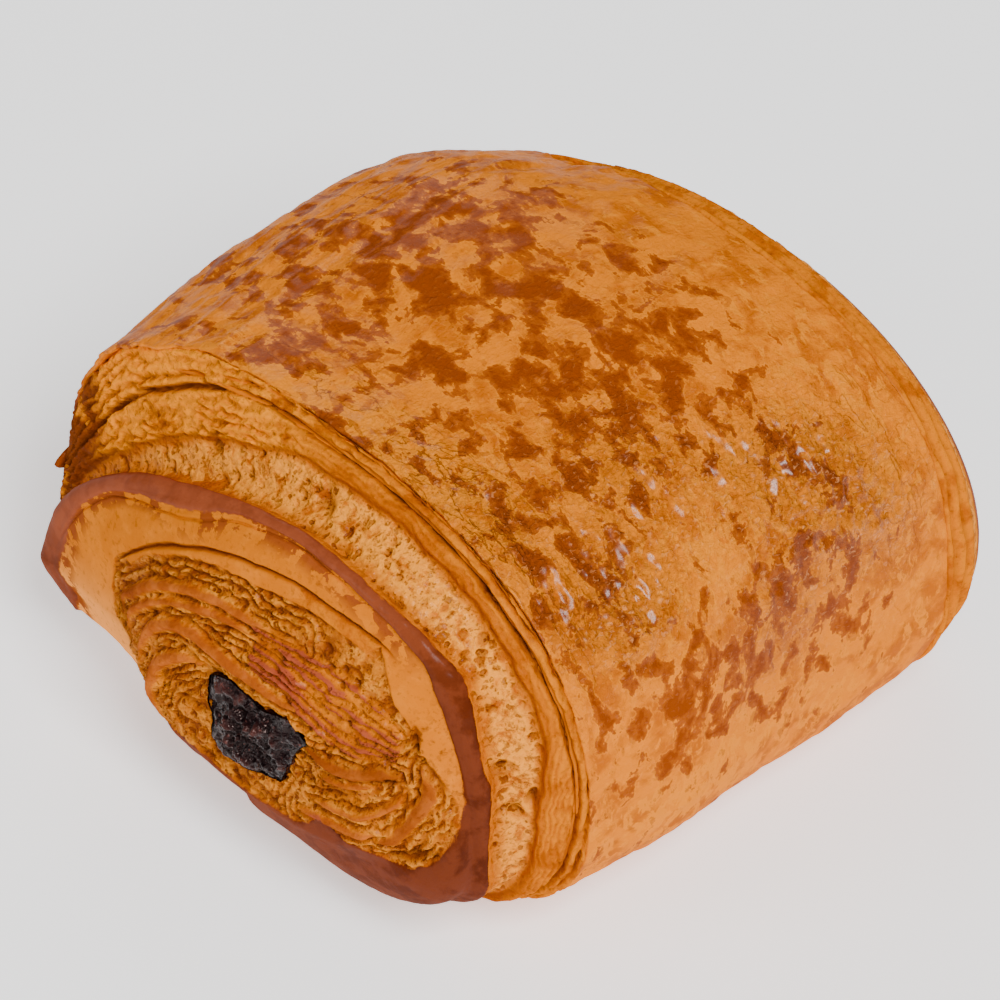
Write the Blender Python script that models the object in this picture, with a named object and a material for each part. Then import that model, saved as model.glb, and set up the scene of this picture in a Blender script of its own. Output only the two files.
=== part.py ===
"""Mini pain au chocolat: laminated dough rolled round one chocolate stick.

The roll's axis lies along Y, with the open spiral end at -Y. It rests on its flat
underside at z = 0, with the origin at the middle of the base. Two solids are made:
the rolled dough, with a tunnel through it, and the chocolate stick in the tunnel.
"""

from collections import namedtuple

import bpy
import numpy as np

MM = 0.001

# Driving sizes of the roll, in millimetres
WIDTH_LEFT = 31.6        # widest reach towards -X
WIDTH_RIGHT = 31.2       # widest reach towards +X
HEIGHT = 42.8            # top of the barrel above the base
FRONT_RIM = -19.6        # y of the wrap's cut edge at the front end
FRONT_FACE = -32.0       # y of the innermost turn at the front end
BACK_RIM = 20.4          # y of the wrap's cut edge at the back end
BACK_FACE = 31.8         # y of the innermost turn at the back end
CREASE_DEPTH = 1.0       # step between the cut sheets and the crumb below them

# Chocolate stick, in millimetres
STICK_MIDDLE_X = 4.0
STICK_MIDDLE_Z = 17.0
STICK_WIDTH = 12.2
STICK_HEIGHT = 8.4
STICK_FRONT = -33.0
STICK_BACK = 33.0
STICK_POWER = 2.8        # roundness of the stick's section: 2 is an ellipse
STICK_LUMP = 0.6         # depth of the dents in its two broken ends
STICK_BEVEL = 0.8        # rounding where its sides meet the broken ends
TUNNEL_GAP = 0.3         # clearance between the stick and the dough
TUNNEL_MOUTH = 0.6       # depth of the rounded mouth at each end of the tunnel

# Relief on the dough, in millimetres
RIDGE_HEIGHT = 0.8       # folded edges of the inner turns
RING_BULGE = 0.6         # round brown edge of the outermost inner turn
SHEET_RIDGE = 0.5        # thin sheets in the wrap's cut edge
CRUMB_RELIEF = 0.35      # uneven open crumb between the turns
SKIN_RELIEF = 0.35       # soft waves of the glazed skin
BASE_FADE = 5.0          # relief dies out over this height above the base
COIL_START = 225.0       # angle at which the coil's outer end starts, in degrees
CRUMB_SIZE = 5.0         # size of the crumb's bumps
WRINKLE_SIZE = 7.0       # size of the skin's waves across the roll
WRINKLE_STRETCH = 0.45   # the skin's waves are this much slower along the roll
DENT_SIZE = 3.5          # size of the dents in the stick's ends
WAVE_COUNT = 14          # plane waves in each uneven field
SHARP_ANGLE = 50.0       # edges sharper than this stay sharp, in degrees

# Resolution of the two meshes
DOUGH_SEGMENTS = 76
STEPS_FRONT = 4
STEPS_BARREL = 3
STEPS_BACK = 3
TUNNEL_STEPS = 3
STICK_SEGMENTS = 36
STICK_STEPS = 12
STICK_CAP_RINGS = 3

WAVE_SEED = 17
STICK_SEED = 23

# One cross outline of the roll: where it lies along the axis, its four reaches, and
# how square each of its four quarters is (2 is an ellipse, more is squarer)
Outline = namedtuple(
    "Outline",
    "y centre left right top middle bottom top_left top_right low_left low_right",
)


def front_outlines():
    """Outlines of the front end, from the stick's hole out to the wrap's cut edge."""
    face = FRONT_FACE
    rim = FRONT_RIM
    return [
        Outline(face + 0.4, 4.0, -2.8, 10.8, 21.7, 17.0, 12.2, 2.4, 2.4, 2.4, 2.4),
        Outline(face, 3.0, -8.0, 15.6, 23.2, 15.5, 10.5, 2.0, 2.0, 2.0, 2.05),
        Outline(face + 0.6, 2.0, -10.6, 17.5, 25.5, 15.5, 9.3, 2.0, 2.0, 1.9, 2.1),
        Outline(face + 1.4, 1.0, -12.6, 19.4, 29.0, 15.5, 8.1, 2.0, 2.0, 1.6, 2.25),
        Outline(face + 3.2, 2.0, -15.7, 23.0, 33.3, 15.0, 4.7, 2.0, 2.1, 1.4, 2.5),
        Outline(rim - 7.2, 4.0, -25.2, 23.5, 35.6, 13.0, 3.2, 1.7, 2.5, 1.3, 2.15),
        Outline(rim - 6.4, 5.0, -28.4, 24.6, 36.6, 12.2, 2.9, 1.65, 2.7, 1.65, 2.1),
        Outline(rim - 4.2, 5.0, -28.8, 25.9, 37.7, 13.0, 1.6, 1.6, 2.6, 2.1, 2.15),
        Outline(rim - 1.4, 0.0, -30.0, 28.5, HEIGHT - 2.7, 18.0, -0.3, 2.15, 2.4, 2.15, 2.4),
        Outline(rim, 0.0, -30.0, 29.6, HEIGHT - 1.0, 18.0, -0.7, 2.45, 2.45, 2.4, 2.5),
    ]


def barrel_outlines():
    """Outlines of the glazed barrel between the two cut edges of the wrap."""
    left = -WIDTH_LEFT
    right = WIDTH_RIGHT
    return [
        Outline(-10.0, 0.0, left, right, HEIGHT - 0.4, 18.0, -1.1, 2.45, 2.5, 2.4, 2.5),
        Outline(0.0, 0.0, left + 0.5, right - 0.4, HEIGHT, 18.0, -1.2, 2.5, 2.5, 2.4, 2.75),
        Outline(11.0, 0.0, left + 0.7, right, HEIGHT - 0.4, 18.0, -1.1, 2.3, 2.5, 2.4, 2.8),
    ]


def back_outlines():
    """Outlines of the back end, from the wrap's cut edge in to the stick's hole."""
    face = BACK_FACE
    rim = BACK_RIM
    return [
        Outline(rim, 4.0, -29.2, 30.9, HEIGHT - 2.9, 18.0, -1.0, 2.1, 2.45, 2.4, 3.0),
        Outline(rim + 2.5, 4.0, -27.4, 30.5, HEIGHT - 4.4, 18.0, -0.6, 1.8, 2.35, 2.3, 2.9),
        Outline(rim + 5.6, 4.0, -25.6, 29.6, HEIGHT - 6.7, 16.0, 0.2, 2.0, 2.25, 2.2, 2.6),
        Outline(rim + 8.6, 4.0, -24.0, 27.8, HEIGHT - 11.2, 14.0, 0.8, 2.0, 2.0, 2.2, 2.5),
        Outline(face - 1.2, 4.0, -21.0, 25.0, 27.0, 14.0, 2.2, 2.0, 2.0, 2.1, 2.3),
        Outline(face - 0.2, 3.0, -14.0, 17.5, 25.0, 14.0, 4.0, 2.0, 2.0, 2.0, 2.0),
        Outline(face - 0.3, 4.0, -2.8, 10.8, 21.7, 17.0, 12.2, 2.4, 2.4, 2.4, 2.4),
    ]


def blend_outlines(outlines, station):
    """Field values at a fractional station, on a smooth curve through the outlines."""
    values = np.array(outlines, dtype=float)
    last = len(values) - 1
    low = min(int(station), last - 1)
    part = station - low
    before = values[max(low - 1, 0)]
    start = values[low]
    end = values[low + 1]
    after = values[min(low + 2, last)]
    linear = (end - before) * part
    square = (2 * before - 5 * start + 4 * end - after) * part ** 2
    cube = (3 * start - before - 3 * end + after) * part ** 3
    return start + 0.5 * (linear + square + cube)


def outline_points(fields, angles):
    """Points of one cross outline, cut flat where it reaches the base."""
    outline = Outline(*fields)
    across = np.cos(angles)
    upward = np.sin(angles)
    upper = np.where(across > 0, outline.top_right, outline.top_left)
    lower = np.where(across > 0, outline.low_right, outline.low_left)
    power = 2 / np.where(upward > 0, upper, lower)
    reach = np.where(across > 0, outline.right - outline.centre, outline.centre - outline.left)
    rise = np.where(upward > 0, outline.top - outline.middle, outline.middle - outline.bottom)
    x = outline.centre + reach * np.sign(across) * np.abs(across) ** power
    z = outline.middle + rise * np.sign(upward) * np.abs(upward) ** power
    y = np.full_like(x, outline.y)
    return np.stack([x, y, np.maximum(z, 0.0)], axis=-1)


def smooth_step(low, high, value):
    """0 below low, 1 above high, and a smooth rise between them."""
    share = np.clip((value - low) / (high - low), 0.0, 1.0)
    return share * share * (3 - 2 * share)


def window(low, high, soft, value):
    """1 between low and high, falling to 0 over the soft width on each side."""
    rise = smooth_step(low - soft, low + soft, value)
    fall = smooth_step(high - soft, high + soft, value)
    return rise * (1 - fall)


def soft_waves(points, wavelength, seed):
    """Smooth uneven field from -1 to 1, a sum of seeded plane waves."""
    generator = np.random.default_rng(seed)
    total = np.zeros(points.shape[:-1])
    for _ in range(WAVE_COUNT):
        direction = generator.normal(size=3)
        direction /= np.linalg.norm(direction)
        length = wavelength * generator.uniform(0.7, 1.4)
        phase = generator.uniform(0, 2 * np.pi)
        total += np.sin(2 * np.pi * (points @ direction) / length + phase)
    return total / np.sqrt(WAVE_COUNT)


def surface_normals(grid):
    """Outward unit normals of a grid whose second direction closes on itself."""
    along = np.gradient(grid, axis=0)
    around = np.roll(grid, -1, axis=1) - np.roll(grid, 1, axis=1)
    normal = np.cross(along, around)
    length = np.linalg.norm(normal, axis=-1, keepdims=True)
    return normal / np.maximum(length, 1e-9)


def station_list(outline_count):
    """Fractional stations along the profile, closer together on the front end."""
    front = len(front_outlines())
    barrel = front + len(barrel_outlines())
    stations = []
    for index in range(outline_count - 1):
        steps = STEPS_BACK
        if index < front - 1:
            steps = STEPS_FRONT
        elif index < barrel:
            steps = STEPS_BARREL
        stations += [index + step / steps for step in range(steps)]
    stations.append(outline_count - 1)
    return np.array(stations, dtype=float)


def dough_relief(grid, stations, angles, outline_count):
    """Height of the folds, cut sheets, crumb and skin waves above the plain loft."""
    front_rim = len(front_outlines()) - 1
    back_rim = front_rim + len(barrel_outlines()) + 1
    station = stations[:, None]
    turn = (angles[None, :] - np.radians(COIL_START)) % (2 * np.pi) / (2 * np.pi)
    folds = np.cos(2 * np.pi * (station + turn))
    coil = window(0.8, 3.9, 0.5, station) + window(outline_count - 2.6, outline_count - 1.4, 0.5, station)
    sheets = np.cos(2 * np.pi * 2 * station)
    edges = window(front_rim - 0.9, front_rim - 0.1, 0.2, station)
    edges = edges + window(back_rim + 0.1, back_rim + 0.9, 0.2, station)
    crumb_front = window(front_rim - 1.9, front_rim - 0.9, 0.3, station)
    crumb_back = window(back_rim + 0.9, back_rim + 1.9, 0.3, station)
    skin = window(front_rim, back_rim, 0.3, station)
    height = RIDGE_HEIGHT * coil * folds
    height = height + RING_BULGE * window(front_rim - 3.4, front_rim - 2.4, 0.3, station)
    height = height + SHEET_RIDGE * edges * sheets
    height = height - CREASE_DEPTH * window(front_rim - 1.6, front_rim - 1.1, 0.3, station)
    crumb = soft_waves(grid, CRUMB_SIZE, WAVE_SEED)
    height = height + CRUMB_RELIEF * (crumb_front + crumb_back) * crumb
    wrinkles = soft_waves(grid * [1.0, WRINKLE_STRETCH, 1.0], WRINKLE_SIZE, WAVE_SEED + 1)
    height = height + SKIN_RELIEF * skin * wrinkles
    return height * smooth_step(0.0, BASE_FADE, grid[..., 2])


def dough_surface():
    """Outer surface of the rolled dough, as a grid from the front hole to the back one."""
    outlines = front_outlines() + barrel_outlines() + back_outlines()
    stations = station_list(len(outlines))
    angles = np.linspace(0, 2 * np.pi, DOUGH_SEGMENTS, endpoint=False)
    grid = np.array([outline_points(blend_outlines(outlines, station), angles) for station in stations])
    relief = dough_relief(grid, stations, angles, len(outlines))
    grid = grid + relief[..., None] * surface_normals(grid)
    grid[..., 2] = np.maximum(grid[..., 2], 0.0)
    return grid, angles


def stick_outline(angles, y, grow):
    """One section of the chocolate stick, grown outwards by a clearance."""
    power = 2 / STICK_POWER
    across = np.cos(angles)
    upward = np.sin(angles)
    x = (STICK_WIDTH / 2 + grow) * np.sign(across) * np.abs(across) ** power
    z = (STICK_HEIGHT / 2 + grow) * np.sign(upward) * np.abs(upward) ** power
    return np.stack([STICK_MIDDLE_X + x, np.full_like(x, y), STICK_MIDDLE_Z + z], axis=-1)


def grid_faces(rows, columns, close_rows):
    """Quads of a grid whose columns close on themselves, and whose rows may too."""
    faces = []
    for row in range(rows if close_rows else rows - 1):
        below = (row + 1) % rows
        for column in range(columns):
            right = (column + 1) % columns
            faces.append((row * columns + column, below * columns + column,
                          below * columns + right, row * columns + right))
    return faces


def make_material(name, colour, roughness):
    """Plain Principled material of one colour."""
    material = bpy.data.materials.new(name)
    material.use_nodes = True
    shader = material.node_tree.nodes["Principled BSDF"]
    shader.inputs["Base Color"].default_value = (*colour, 1.0)
    shader.inputs["Roughness"].default_value = roughness
    shader.inputs["Metallic"].default_value = 0.0
    return material


def make_object(name, points, faces, material):
    """Mesh object from points in millimetres, smooth except at sharp edges."""
    mesh = bpy.data.meshes.new(name)
    mesh.from_pydata((np.asarray(points) * MM).tolist(), [], faces)
    mesh.validate()
    mesh.materials.append(material)
    mesh.shade_smooth()
    mesh.set_sharp_from_angle(angle=np.radians(SHARP_ANGLE))
    piece = bpy.data.objects.new(name, mesh)
    bpy.context.scene.collection.objects.link(piece)
    return piece


def build_dough():
    """Rolled dough: the outer surface, closed by the wall of the stick's tunnel."""
    grid, angles = dough_surface()
    front_y = grid[0, :, 1].mean()
    back_y = grid[-1, :, 1].mean()
    wall = []
    for step in range(TUNNEL_STEPS):
        share = (step + 0.5) / TUNNEL_STEPS
        inset = TUNNEL_MOUTH + share * (back_y - front_y - 2 * TUNNEL_MOUTH)
        wall.append(stick_outline(angles, back_y - inset, TUNNEL_GAP))
    rows = np.concatenate([grid, np.array(wall)])
    faces = grid_faces(len(rows), len(angles), True)
    crust = make_material("golden_crust", (0.62, 0.30, 0.06), 0.35)
    return make_object("pastry_roll", rows.reshape(-1, 3), faces, crust)


def build_stick():
    """Chocolate stick: a rounded bar with a lumpy broken face at each end."""
    angles = np.linspace(0, 2 * np.pi, STICK_SEGMENTS, endpoint=False)
    middle = np.array([STICK_MIDDLE_X, 0.0, STICK_MIDDLE_Z])
    rows = []
    for ring in range(1, STICK_CAP_RINGS + 1):
        share = ring / (STICK_CAP_RINGS + 1)
        section = stick_outline(angles, STICK_FRONT, -STICK_BEVEL)
        rows.append((section - middle) * [share, 1.0, share] + middle)
    for y in np.linspace(STICK_FRONT + STICK_BEVEL, STICK_BACK - STICK_BEVEL, STICK_STEPS):
        rows.append(stick_outline(angles, y, 0.0))
    for ring in range(STICK_CAP_RINGS, 0, -1):
        share = ring / (STICK_CAP_RINGS + 1)
        section = stick_outline(angles, STICK_BACK, -STICK_BEVEL)
        rows.append((section - middle) * [share, 1.0, share] + middle)
    grid = np.array(rows)
    dents = STICK_LUMP * np.abs(soft_waves(grid, DENT_SIZE, STICK_SEED))
    front_cap = grid[..., 1] < STICK_FRONT + 0.5 * STICK_BEVEL
    back_cap = grid[..., 1] > STICK_BACK - 0.5 * STICK_BEVEL
    grid[..., 1] += dents * (front_cap * 1.0 - back_cap * 1.0)
    count = len(grid) * STICK_SEGMENTS
    ends = np.array([[STICK_MIDDLE_X, y, STICK_MIDDLE_Z] for y in (STICK_FRONT, STICK_BACK)])
    points = np.concatenate([grid.reshape(-1, 3), ends])
    faces = grid_faces(len(grid), STICK_SEGMENTS, False)
    last = (len(grid) - 1) * STICK_SEGMENTS
    for column in range(STICK_SEGMENTS):
        right = (column + 1) % STICK_SEGMENTS
        faces.append((count, column, right))
        faces.append((count + 1, last + right, last + column))
    chocolate = make_material("dark_chocolate", (0.012, 0.008, 0.007), 0.4)
    return make_object("chocolate_stick", points, faces, chocolate)


def clear_scene():
    """Remove the objects that the scene starts with."""
    for old in list(bpy.data.objects):
        bpy.data.objects.remove(old, do_unlink=True)


def main():
    """Build the roll and its stick in an empty scene."""
    clear_scene()
    build_dough()
    build_stick()


main()
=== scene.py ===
"""Looks of the mini pain au chocolat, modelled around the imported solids.

The roll's axis lies along Y, with the shown spiral end at -Y and the base at z = 0.
Shapes are worked out in millimetres by lofting named cross outlines from one end to the
other, and then raised and dented by seeded relief. Every mesh is written in metres.
"""

import enum
import logging
import math
from dataclasses import dataclass
from typing import Sequence, Union

import bpy
import numpy as np
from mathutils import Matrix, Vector


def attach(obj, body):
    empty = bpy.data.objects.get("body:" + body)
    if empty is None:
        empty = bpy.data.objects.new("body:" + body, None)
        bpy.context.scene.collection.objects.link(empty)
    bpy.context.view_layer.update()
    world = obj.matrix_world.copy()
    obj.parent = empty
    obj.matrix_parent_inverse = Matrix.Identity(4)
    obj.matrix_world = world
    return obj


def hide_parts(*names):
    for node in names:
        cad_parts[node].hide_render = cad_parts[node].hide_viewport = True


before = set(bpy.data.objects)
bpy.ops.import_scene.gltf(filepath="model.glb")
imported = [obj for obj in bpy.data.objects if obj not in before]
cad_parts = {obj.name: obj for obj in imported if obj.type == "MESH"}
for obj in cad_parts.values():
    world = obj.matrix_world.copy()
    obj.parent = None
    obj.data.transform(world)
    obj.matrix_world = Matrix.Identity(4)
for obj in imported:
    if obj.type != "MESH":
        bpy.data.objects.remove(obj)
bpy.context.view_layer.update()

LOG = logging.getLogger("pain_au_chocolat")
MM = 0.001
BODY = "root"

HEIGHT = 42.8
FRONT_RIM = -19.6
BACK_RIM = 20.4
STICK_MIDDLE = (4.0, 17.0)
OUTSIDE = -3.0

Array = np.ndarray
Colour = tuple[float, float, float]


class End(enum.Enum):
    """The two ends of the roll."""

    FRONT = -1
    BACK = 1


def smooth_step(low: float, high: float, value: Array) -> Array:
    """0 below low, 1 above high, and a smooth rise between them.

    Args:
        low: value where the rise starts.
        high: value where it ends.
        value: values to map.

    Returns:
        The share from 0 to 1.
    """
    share = np.clip((value - low) / (high - low), 0.0, 1.0)
    return share * share * (3 - 2 * share)


def band(low: float, high: float, soft: float, value: Array) -> Array:
    """1 between low and high, falling to 0 over a soft width on each side.

    Args:
        low: lower edge of the band.
        high: upper edge of the band.
        soft: half width of the change at each edge.
        value: values to map.

    Returns:
        The share from 0 to 1.
    """
    return smooth_step(low - soft, low + soft, value) * (1 - smooth_step(high - soft, high + soft, value))


def ridge(centre: float, width: float, value: Array) -> Array:
    """Rounded bump over a line.

    Args:
        centre: value on the bump's centre line.
        width: half width of the bump.
        value: values to map.

    Returns:
        The height, 1 on the centre line and 0 past the bump.
    """
    reach = np.clip(1 - ((value - centre) / width) ** 2, 0.0, 1.0)
    return reach * np.sqrt(reach)


def angle_window(middle: float, half_width: float, soft: float, angles: Array) -> Array:
    """1 within a half width of an angle, with soft ends and no seam.

    Args:
        middle: middle of the window in degrees.
        half_width: half of its width in degrees.
        soft: half width of the change at each end.
        angles: angles to map, in radians.

    Returns:
        The share from 0 to 1.
    """
    away = np.abs((np.degrees(angles) - middle + 180) % 360 - 180)
    return 1 - smooth_step(half_width - soft, half_width + soft, away)


def unit(value: Array) -> Array:
    """Value kept between 0 and 1.

    Args:
        value: values to limit.

    Returns:
        The limited values.
    """
    return np.clip(value, 0, 1)


def signed(distance: Array) -> Array:
    """Distance inside a region, kept within what the finish needs.

    Args:
        distance: distances in millimetres, negative outside the region.

    Returns:
        The limited distances.
    """
    return np.clip(distance, OUTSIDE, -OUTSIDE)


class Relief:
    """Seeded gradient and cell noise on points in millimetres."""

    TABLE = 256

    def __init__(self, seed: int) -> None:
        """Draw the lattice tables.

        Args:
            seed: seed of this relief's own random draw.
        """
        draw = np.random.default_rng(seed)
        self.order = np.tile(draw.permutation(self.TABLE), 2)
        slopes = draw.normal(size=(self.TABLE, 3))
        self.slopes = slopes / np.linalg.norm(slopes, axis=1, keepdims=True)
        self.jitter = draw.random((self.TABLE, 3))

    def _slot(self, cell: Array) -> Array:
        """Table slot of each lattice cell."""
        column, row, layer = np.moveaxis(cell % self.TABLE, -1, 0)
        slot = self.order[(self.order[column] + row) % self.TABLE]
        return self.order[(slot + layer) % self.TABLE]

    def gradient(self, points: Array) -> Array:
        """Gradient noise with features one unit across.

        Args:
            points: places in units of the features.

        Returns:
            Noise of about -1 to 1.
        """
        cell = np.floor(points).astype(int)
        part = points - cell
        fade = part ** 3 * (part * (part * 6 - 15) + 10)
        total = np.zeros(points.shape[:-1])
        for corner in np.ndindex(2, 2, 2):
            offset = np.array(corner)
            slope = self.slopes[self._slot(cell + offset)]
            value = np.sum(slope * (part - offset), axis=-1)
            weight = np.prod(np.where(offset == 1, fade, 1 - fade), axis=-1)
            total += weight * value
        return 1.6 * total

    def layered(self, points: Array, size: float, octaves: int, gain: float = 0.5) -> Array:
        """Sum of gradient noise at halving sizes.

        Args:
            points: places in millimetres.
            size: size of the largest features in millimetres.
            octaves: number of layers.
            gain: strength of each layer against the one before.

        Returns:
            Noise of about -1 to 1.
        """
        total = np.zeros(points.shape[:-1])
        strength = 1.0
        whole = 0.0
        for octave in range(octaves):
            total += strength * self.gradient(points * (2 ** octave / size) + 17.3 * octave)
            whole += strength
            strength *= gain
        return total / whole

    def cells(self, points: Array, size: float) -> Array:
        """Distance to the nearest scattered seed.

        Args:
            points: places in millimetres.
            size: mean spacing of the seeds in millimetres.

        Returns:
            The distance, in units of the spacing.
        """
        scaled = points / size
        cell = np.floor(scaled).astype(int)
        nearest = np.full(points.shape[:-1], 9.0)
        for neighbour in np.ndindex(3, 3, 3):
            place = cell + np.array(neighbour) - 1
            seeds = place + self.jitter[self._slot(place)]
            distance = np.linalg.norm(seeds - scaled, axis=-1)
            nearest = np.minimum(nearest, distance)
        return nearest


@dataclass(frozen=True)
class Outline:
    """One cross outline of the roll, in millimetres.

    The reaches are where the outline ends to each side, and each of its four quarters
    has its own squareness: 2 is an ellipse, more is squarer.
    """

    y: float
    centre: float
    left: float
    right: float
    top: float
    middle: float
    bottom: float
    top_left: float
    top_right: float
    low_left: float
    low_right: float

    def values(self) -> list[float]:
        """The sizes in order, for blending."""
        return [getattr(self, name) for name in self.__dataclass_fields__]


class Loft:
    """Smooth surface through a row of cross outlines."""

    def __init__(self, outlines: Sequence[Outline]) -> None:
        """Keep the outlines as rows of sizes.

        Args:
            outlines: outlines in order along the profile.
        """
        self.rows = np.array([outline.values() for outline in outlines])

    @property
    def last(self) -> int:
        """Station of the last outline."""
        return len(self.rows) - 1

    def sizes(self, stations: Array) -> Array:
        """Outline sizes on a smooth curve through the outlines.

        Args:
            stations: fractional stations.

        Returns:
            The sizes, along a last axis.
        """
        low = np.clip(np.floor(stations).astype(int), 0, self.last - 1)
        part = (stations - low)[..., None]
        before = self.rows[np.maximum(low - 1, 0)]
        start = self.rows[low]
        end = self.rows[low + 1]
        after = self.rows[np.minimum(low + 2, self.last)]
        linear = (end - before) * part
        square = (2 * before - 5 * start + 4 * end - after) * part ** 2
        cube = (3 * start - before - 3 * end + after) * part ** 3
        return start + 0.5 * (linear + square + cube)

    def points(self, stations: Array, angles: Array, inset: float = 0.0) -> Array:
        """Points of the surface, cut flat where it reaches the base.

        Args:
            stations: fractional stations, one for each row or one for each point.
            angles: angles round the roll, one for each column.
            inset: distance by which every outline is drawn in.

        Returns:
            Grid of points in millimetres.
        """
        rows = np.broadcast_to(stations if stations.ndim == 2 else stations[:, None],
                               (len(stations), len(angles)))
        (y, centre, left, right, top, middle, bottom,
         top_left, top_right, low_left, low_right) = np.moveaxis(self.sizes(rows), -1, 0)
        across = np.cos(angles)[None, :]
        upward = np.sin(angles)[None, :]
        upper = np.where(across > 0, top_right, top_left)
        lower = np.where(across > 0, low_right, low_left)
        power = 2 / np.where(upward > 0, upper, lower)
        reach = np.where(across > 0, right - centre, centre - left) - inset
        rise = np.where(upward > 0, top - middle, middle - bottom) - inset
        x = centre + reach * np.sign(across) * np.abs(across) ** power
        z = middle + rise * np.sign(upward) * np.abs(upward) ** power
        return np.stack([x, y, np.maximum(z, inset)], axis=-1)


def grid_normals(grid: Array) -> Array:
    """Unit normals of a grid whose columns close on themselves.

    Args:
        grid: points of the surface.

    Returns:
        Outward normals for rows that run towards +Y.
    """
    along = np.gradient(grid, axis=0)
    around = np.roll(grid, -1, axis=1) - np.roll(grid, 1, axis=1)
    normal = np.cross(along, around)
    return normal / np.maximum(np.linalg.norm(normal, axis=-1, keepdims=True), 1e-9)


def spread_angles(count: int, seen: float = 1.0, unseen: float = 0.4) -> Array:
    """Angles round the roll, closer together over its top and sides than under it.

    Args:
        count: number of angles.
        seen: density from the right side over the top to the left side.
        unseen: density underneath.

    Returns:
        Rising angles in radians, from just under the right side.
    """
    fine = np.linspace(-90.0, 270.0, 3601)
    share = band(-38.0, 222.0, 8.0, fine)
    density = unseen + (seen - unseen) * share
    total = np.concatenate([[0.0], np.cumsum(0.5 * (density[1:] + density[:-1]))])
    wanted = np.linspace(0.0, total[-1], count, endpoint=False)
    return np.radians(np.interp(wanted, total, fine))


@dataclass(frozen=True)
class Run:
    """Line round an end of the roll, through places given as (degrees, station)."""

    places: tuple[tuple[float, float], ...]

    def stations(self, angles: Array) -> Array:
        """Station of the line.

        Args:
            angles: angles round the roll in radians.

        Returns:
            Station at each angle.
        """
        degrees, stations = np.array(sorted(self.places)).T
        return np.interp(np.degrees(angles), degrees, stations)

    def presence(self, angles: Array, soft: float = 5.0) -> Array:
        """Where the line is there.

        Args:
            angles: angles round the roll in radians.
            soft: half width in degrees of the change at each end.

        Returns:
            1 along the line and 0 past its ends.
        """
        degrees = np.array(sorted(self.places))[:, 0]
        return band(degrees[0], degrees[-1], soft, np.degrees(angles))


@dataclass(frozen=True)
class Stroke:
    """Rounded fold on the end face, through points in millimetres across and up."""

    points: tuple[tuple[float, float], ...]
    half_width: float = 0.42
    rise: float = 0.42

    def path(self, steps: int = 5) -> Array:
        """Points along a smooth curve through the given ones.

        Args:
            steps: number of steps between two given points.

        Returns:
            The points, one in each row.
        """
        given = np.array(self.points, float)
        padded = np.concatenate([2 * given[:1] - given[1:2], given, 2 * given[-1:] - given[-2:-1]])
        path = []
        for before, start, end, after in zip(padded, padded[1:], padded[2:], padded[3:]):
            for part in np.arange(steps) / steps:
                path.append(start + 0.5 * ((end - before) * part
                            + (2 * before - 5 * start + 4 * end - after) * part ** 2
                            + (3 * start - before - 3 * end + after) * part ** 3))
        return np.array([*path, given[-1]])

    def away(self, grid: Array, wobble: Array) -> Array:
        """Distance from the fold's line across the end face.

        Args:
            grid: points of the surface.
            wobble: sideways unevenness to add, one value for each point.

        Returns:
            Distances in millimetres.
        """
        flat = grid[..., [0, 2]]
        path = self.path()
        nearest = np.full(flat.shape[:-1], 99.0)
        place = np.zeros(flat.shape[:-1])
        for order, (start, end) in enumerate(zip(path, path[1:])):
            run = end - start
            share = np.clip(((flat - start) @ run) / max(run @ run, 1e-9), 0.0, 1.0)
            gap = flat - start - share[..., None] * run
            away = np.hypot(gap[..., 0], gap[..., 1])
            place = np.where(away < nearest, (order + share) / (len(path) - 1), place)
            nearest = np.minimum(nearest, away)
        taper = 1 - smooth_step(0.0, 0.25, np.minimum(place, 1 - place))
        return nearest + wobble + 0.75 * self.half_width * taper


def path_lengths(grid: Array) -> Array:
    """Distances along each column of a grid.

    Args:
        grid: points of the surface.

    Returns:
        Distance from the first row to every point.
    """
    steps = np.linalg.norm(np.diff(grid, axis=0), axis=-1)
    return np.concatenate([np.zeros((1, grid.shape[1])), np.cumsum(steps, axis=0)])


def even_stations(loft: Loft, angles: Array, low: Array, high: Array, rows: int) -> Array:
    """Stations spaced evenly along the surface between two lines round it.

    Args:
        loft: the surface.
        angles: angle of each column.
        low: station of the first line at each angle.
        high: station of the last line at each angle.
        rows: number of rows wanted.

    Returns:
        Grid of stations.
    """
    fine = low + (high - low) * np.linspace(0, 1, 240)[:, None]
    lengths = path_lengths(loft.points(fine, angles))
    shares = np.linspace(0, 1, rows)
    columns = [np.interp(shares * reach[-1], reach, line) for reach, line in zip(lengths.T, fine.T)]
    return np.stack(columns, axis=1)


class Profile:
    """Distances across the runs of an end, measured on the surface."""

    def __init__(self, grid: Array, stations: Array, angles: Array) -> None:
        """Measure the surface from the hole outwards.

        Args:
            grid: points of the loft.
            stations: station of each point.
            angles: angle of each column.
        """
        self.lengths = path_lengths(grid)
        self.stations = stations
        self.angles = angles

    def past(self, run: Run) -> Array:
        """How far each point lies outside a run.

        Args:
            run: line round the end.

        Returns:
            Distances in millimetres, negative inside the run.
        """
        wanted = run.stations(self.angles)
        places = [np.interp(*column) for column in zip(wanted, self.stations.T, self.lengths.T)]
        return self.lengths - np.array(places)[None, :]


def ring_faces(grid: Array) -> Array:
    """Quads of a grid whose rows and columns both close, so that it is a ring-shaped solid.

    Args:
        grid: points of the ring.

    Returns:
        Corner numbers, one row for each quad.
    """
    rows, columns = grid.shape[:2]
    row = np.arange(rows)[:, None]
    column = np.arange(columns)[None, :]
    below = (row + 1) % rows
    right = (column + 1) % columns
    corners = [row * columns + column, below * columns + column,
               below * columns + right, row * columns + right]
    return np.stack(corners, axis=-1).reshape(-1, 4)


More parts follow.
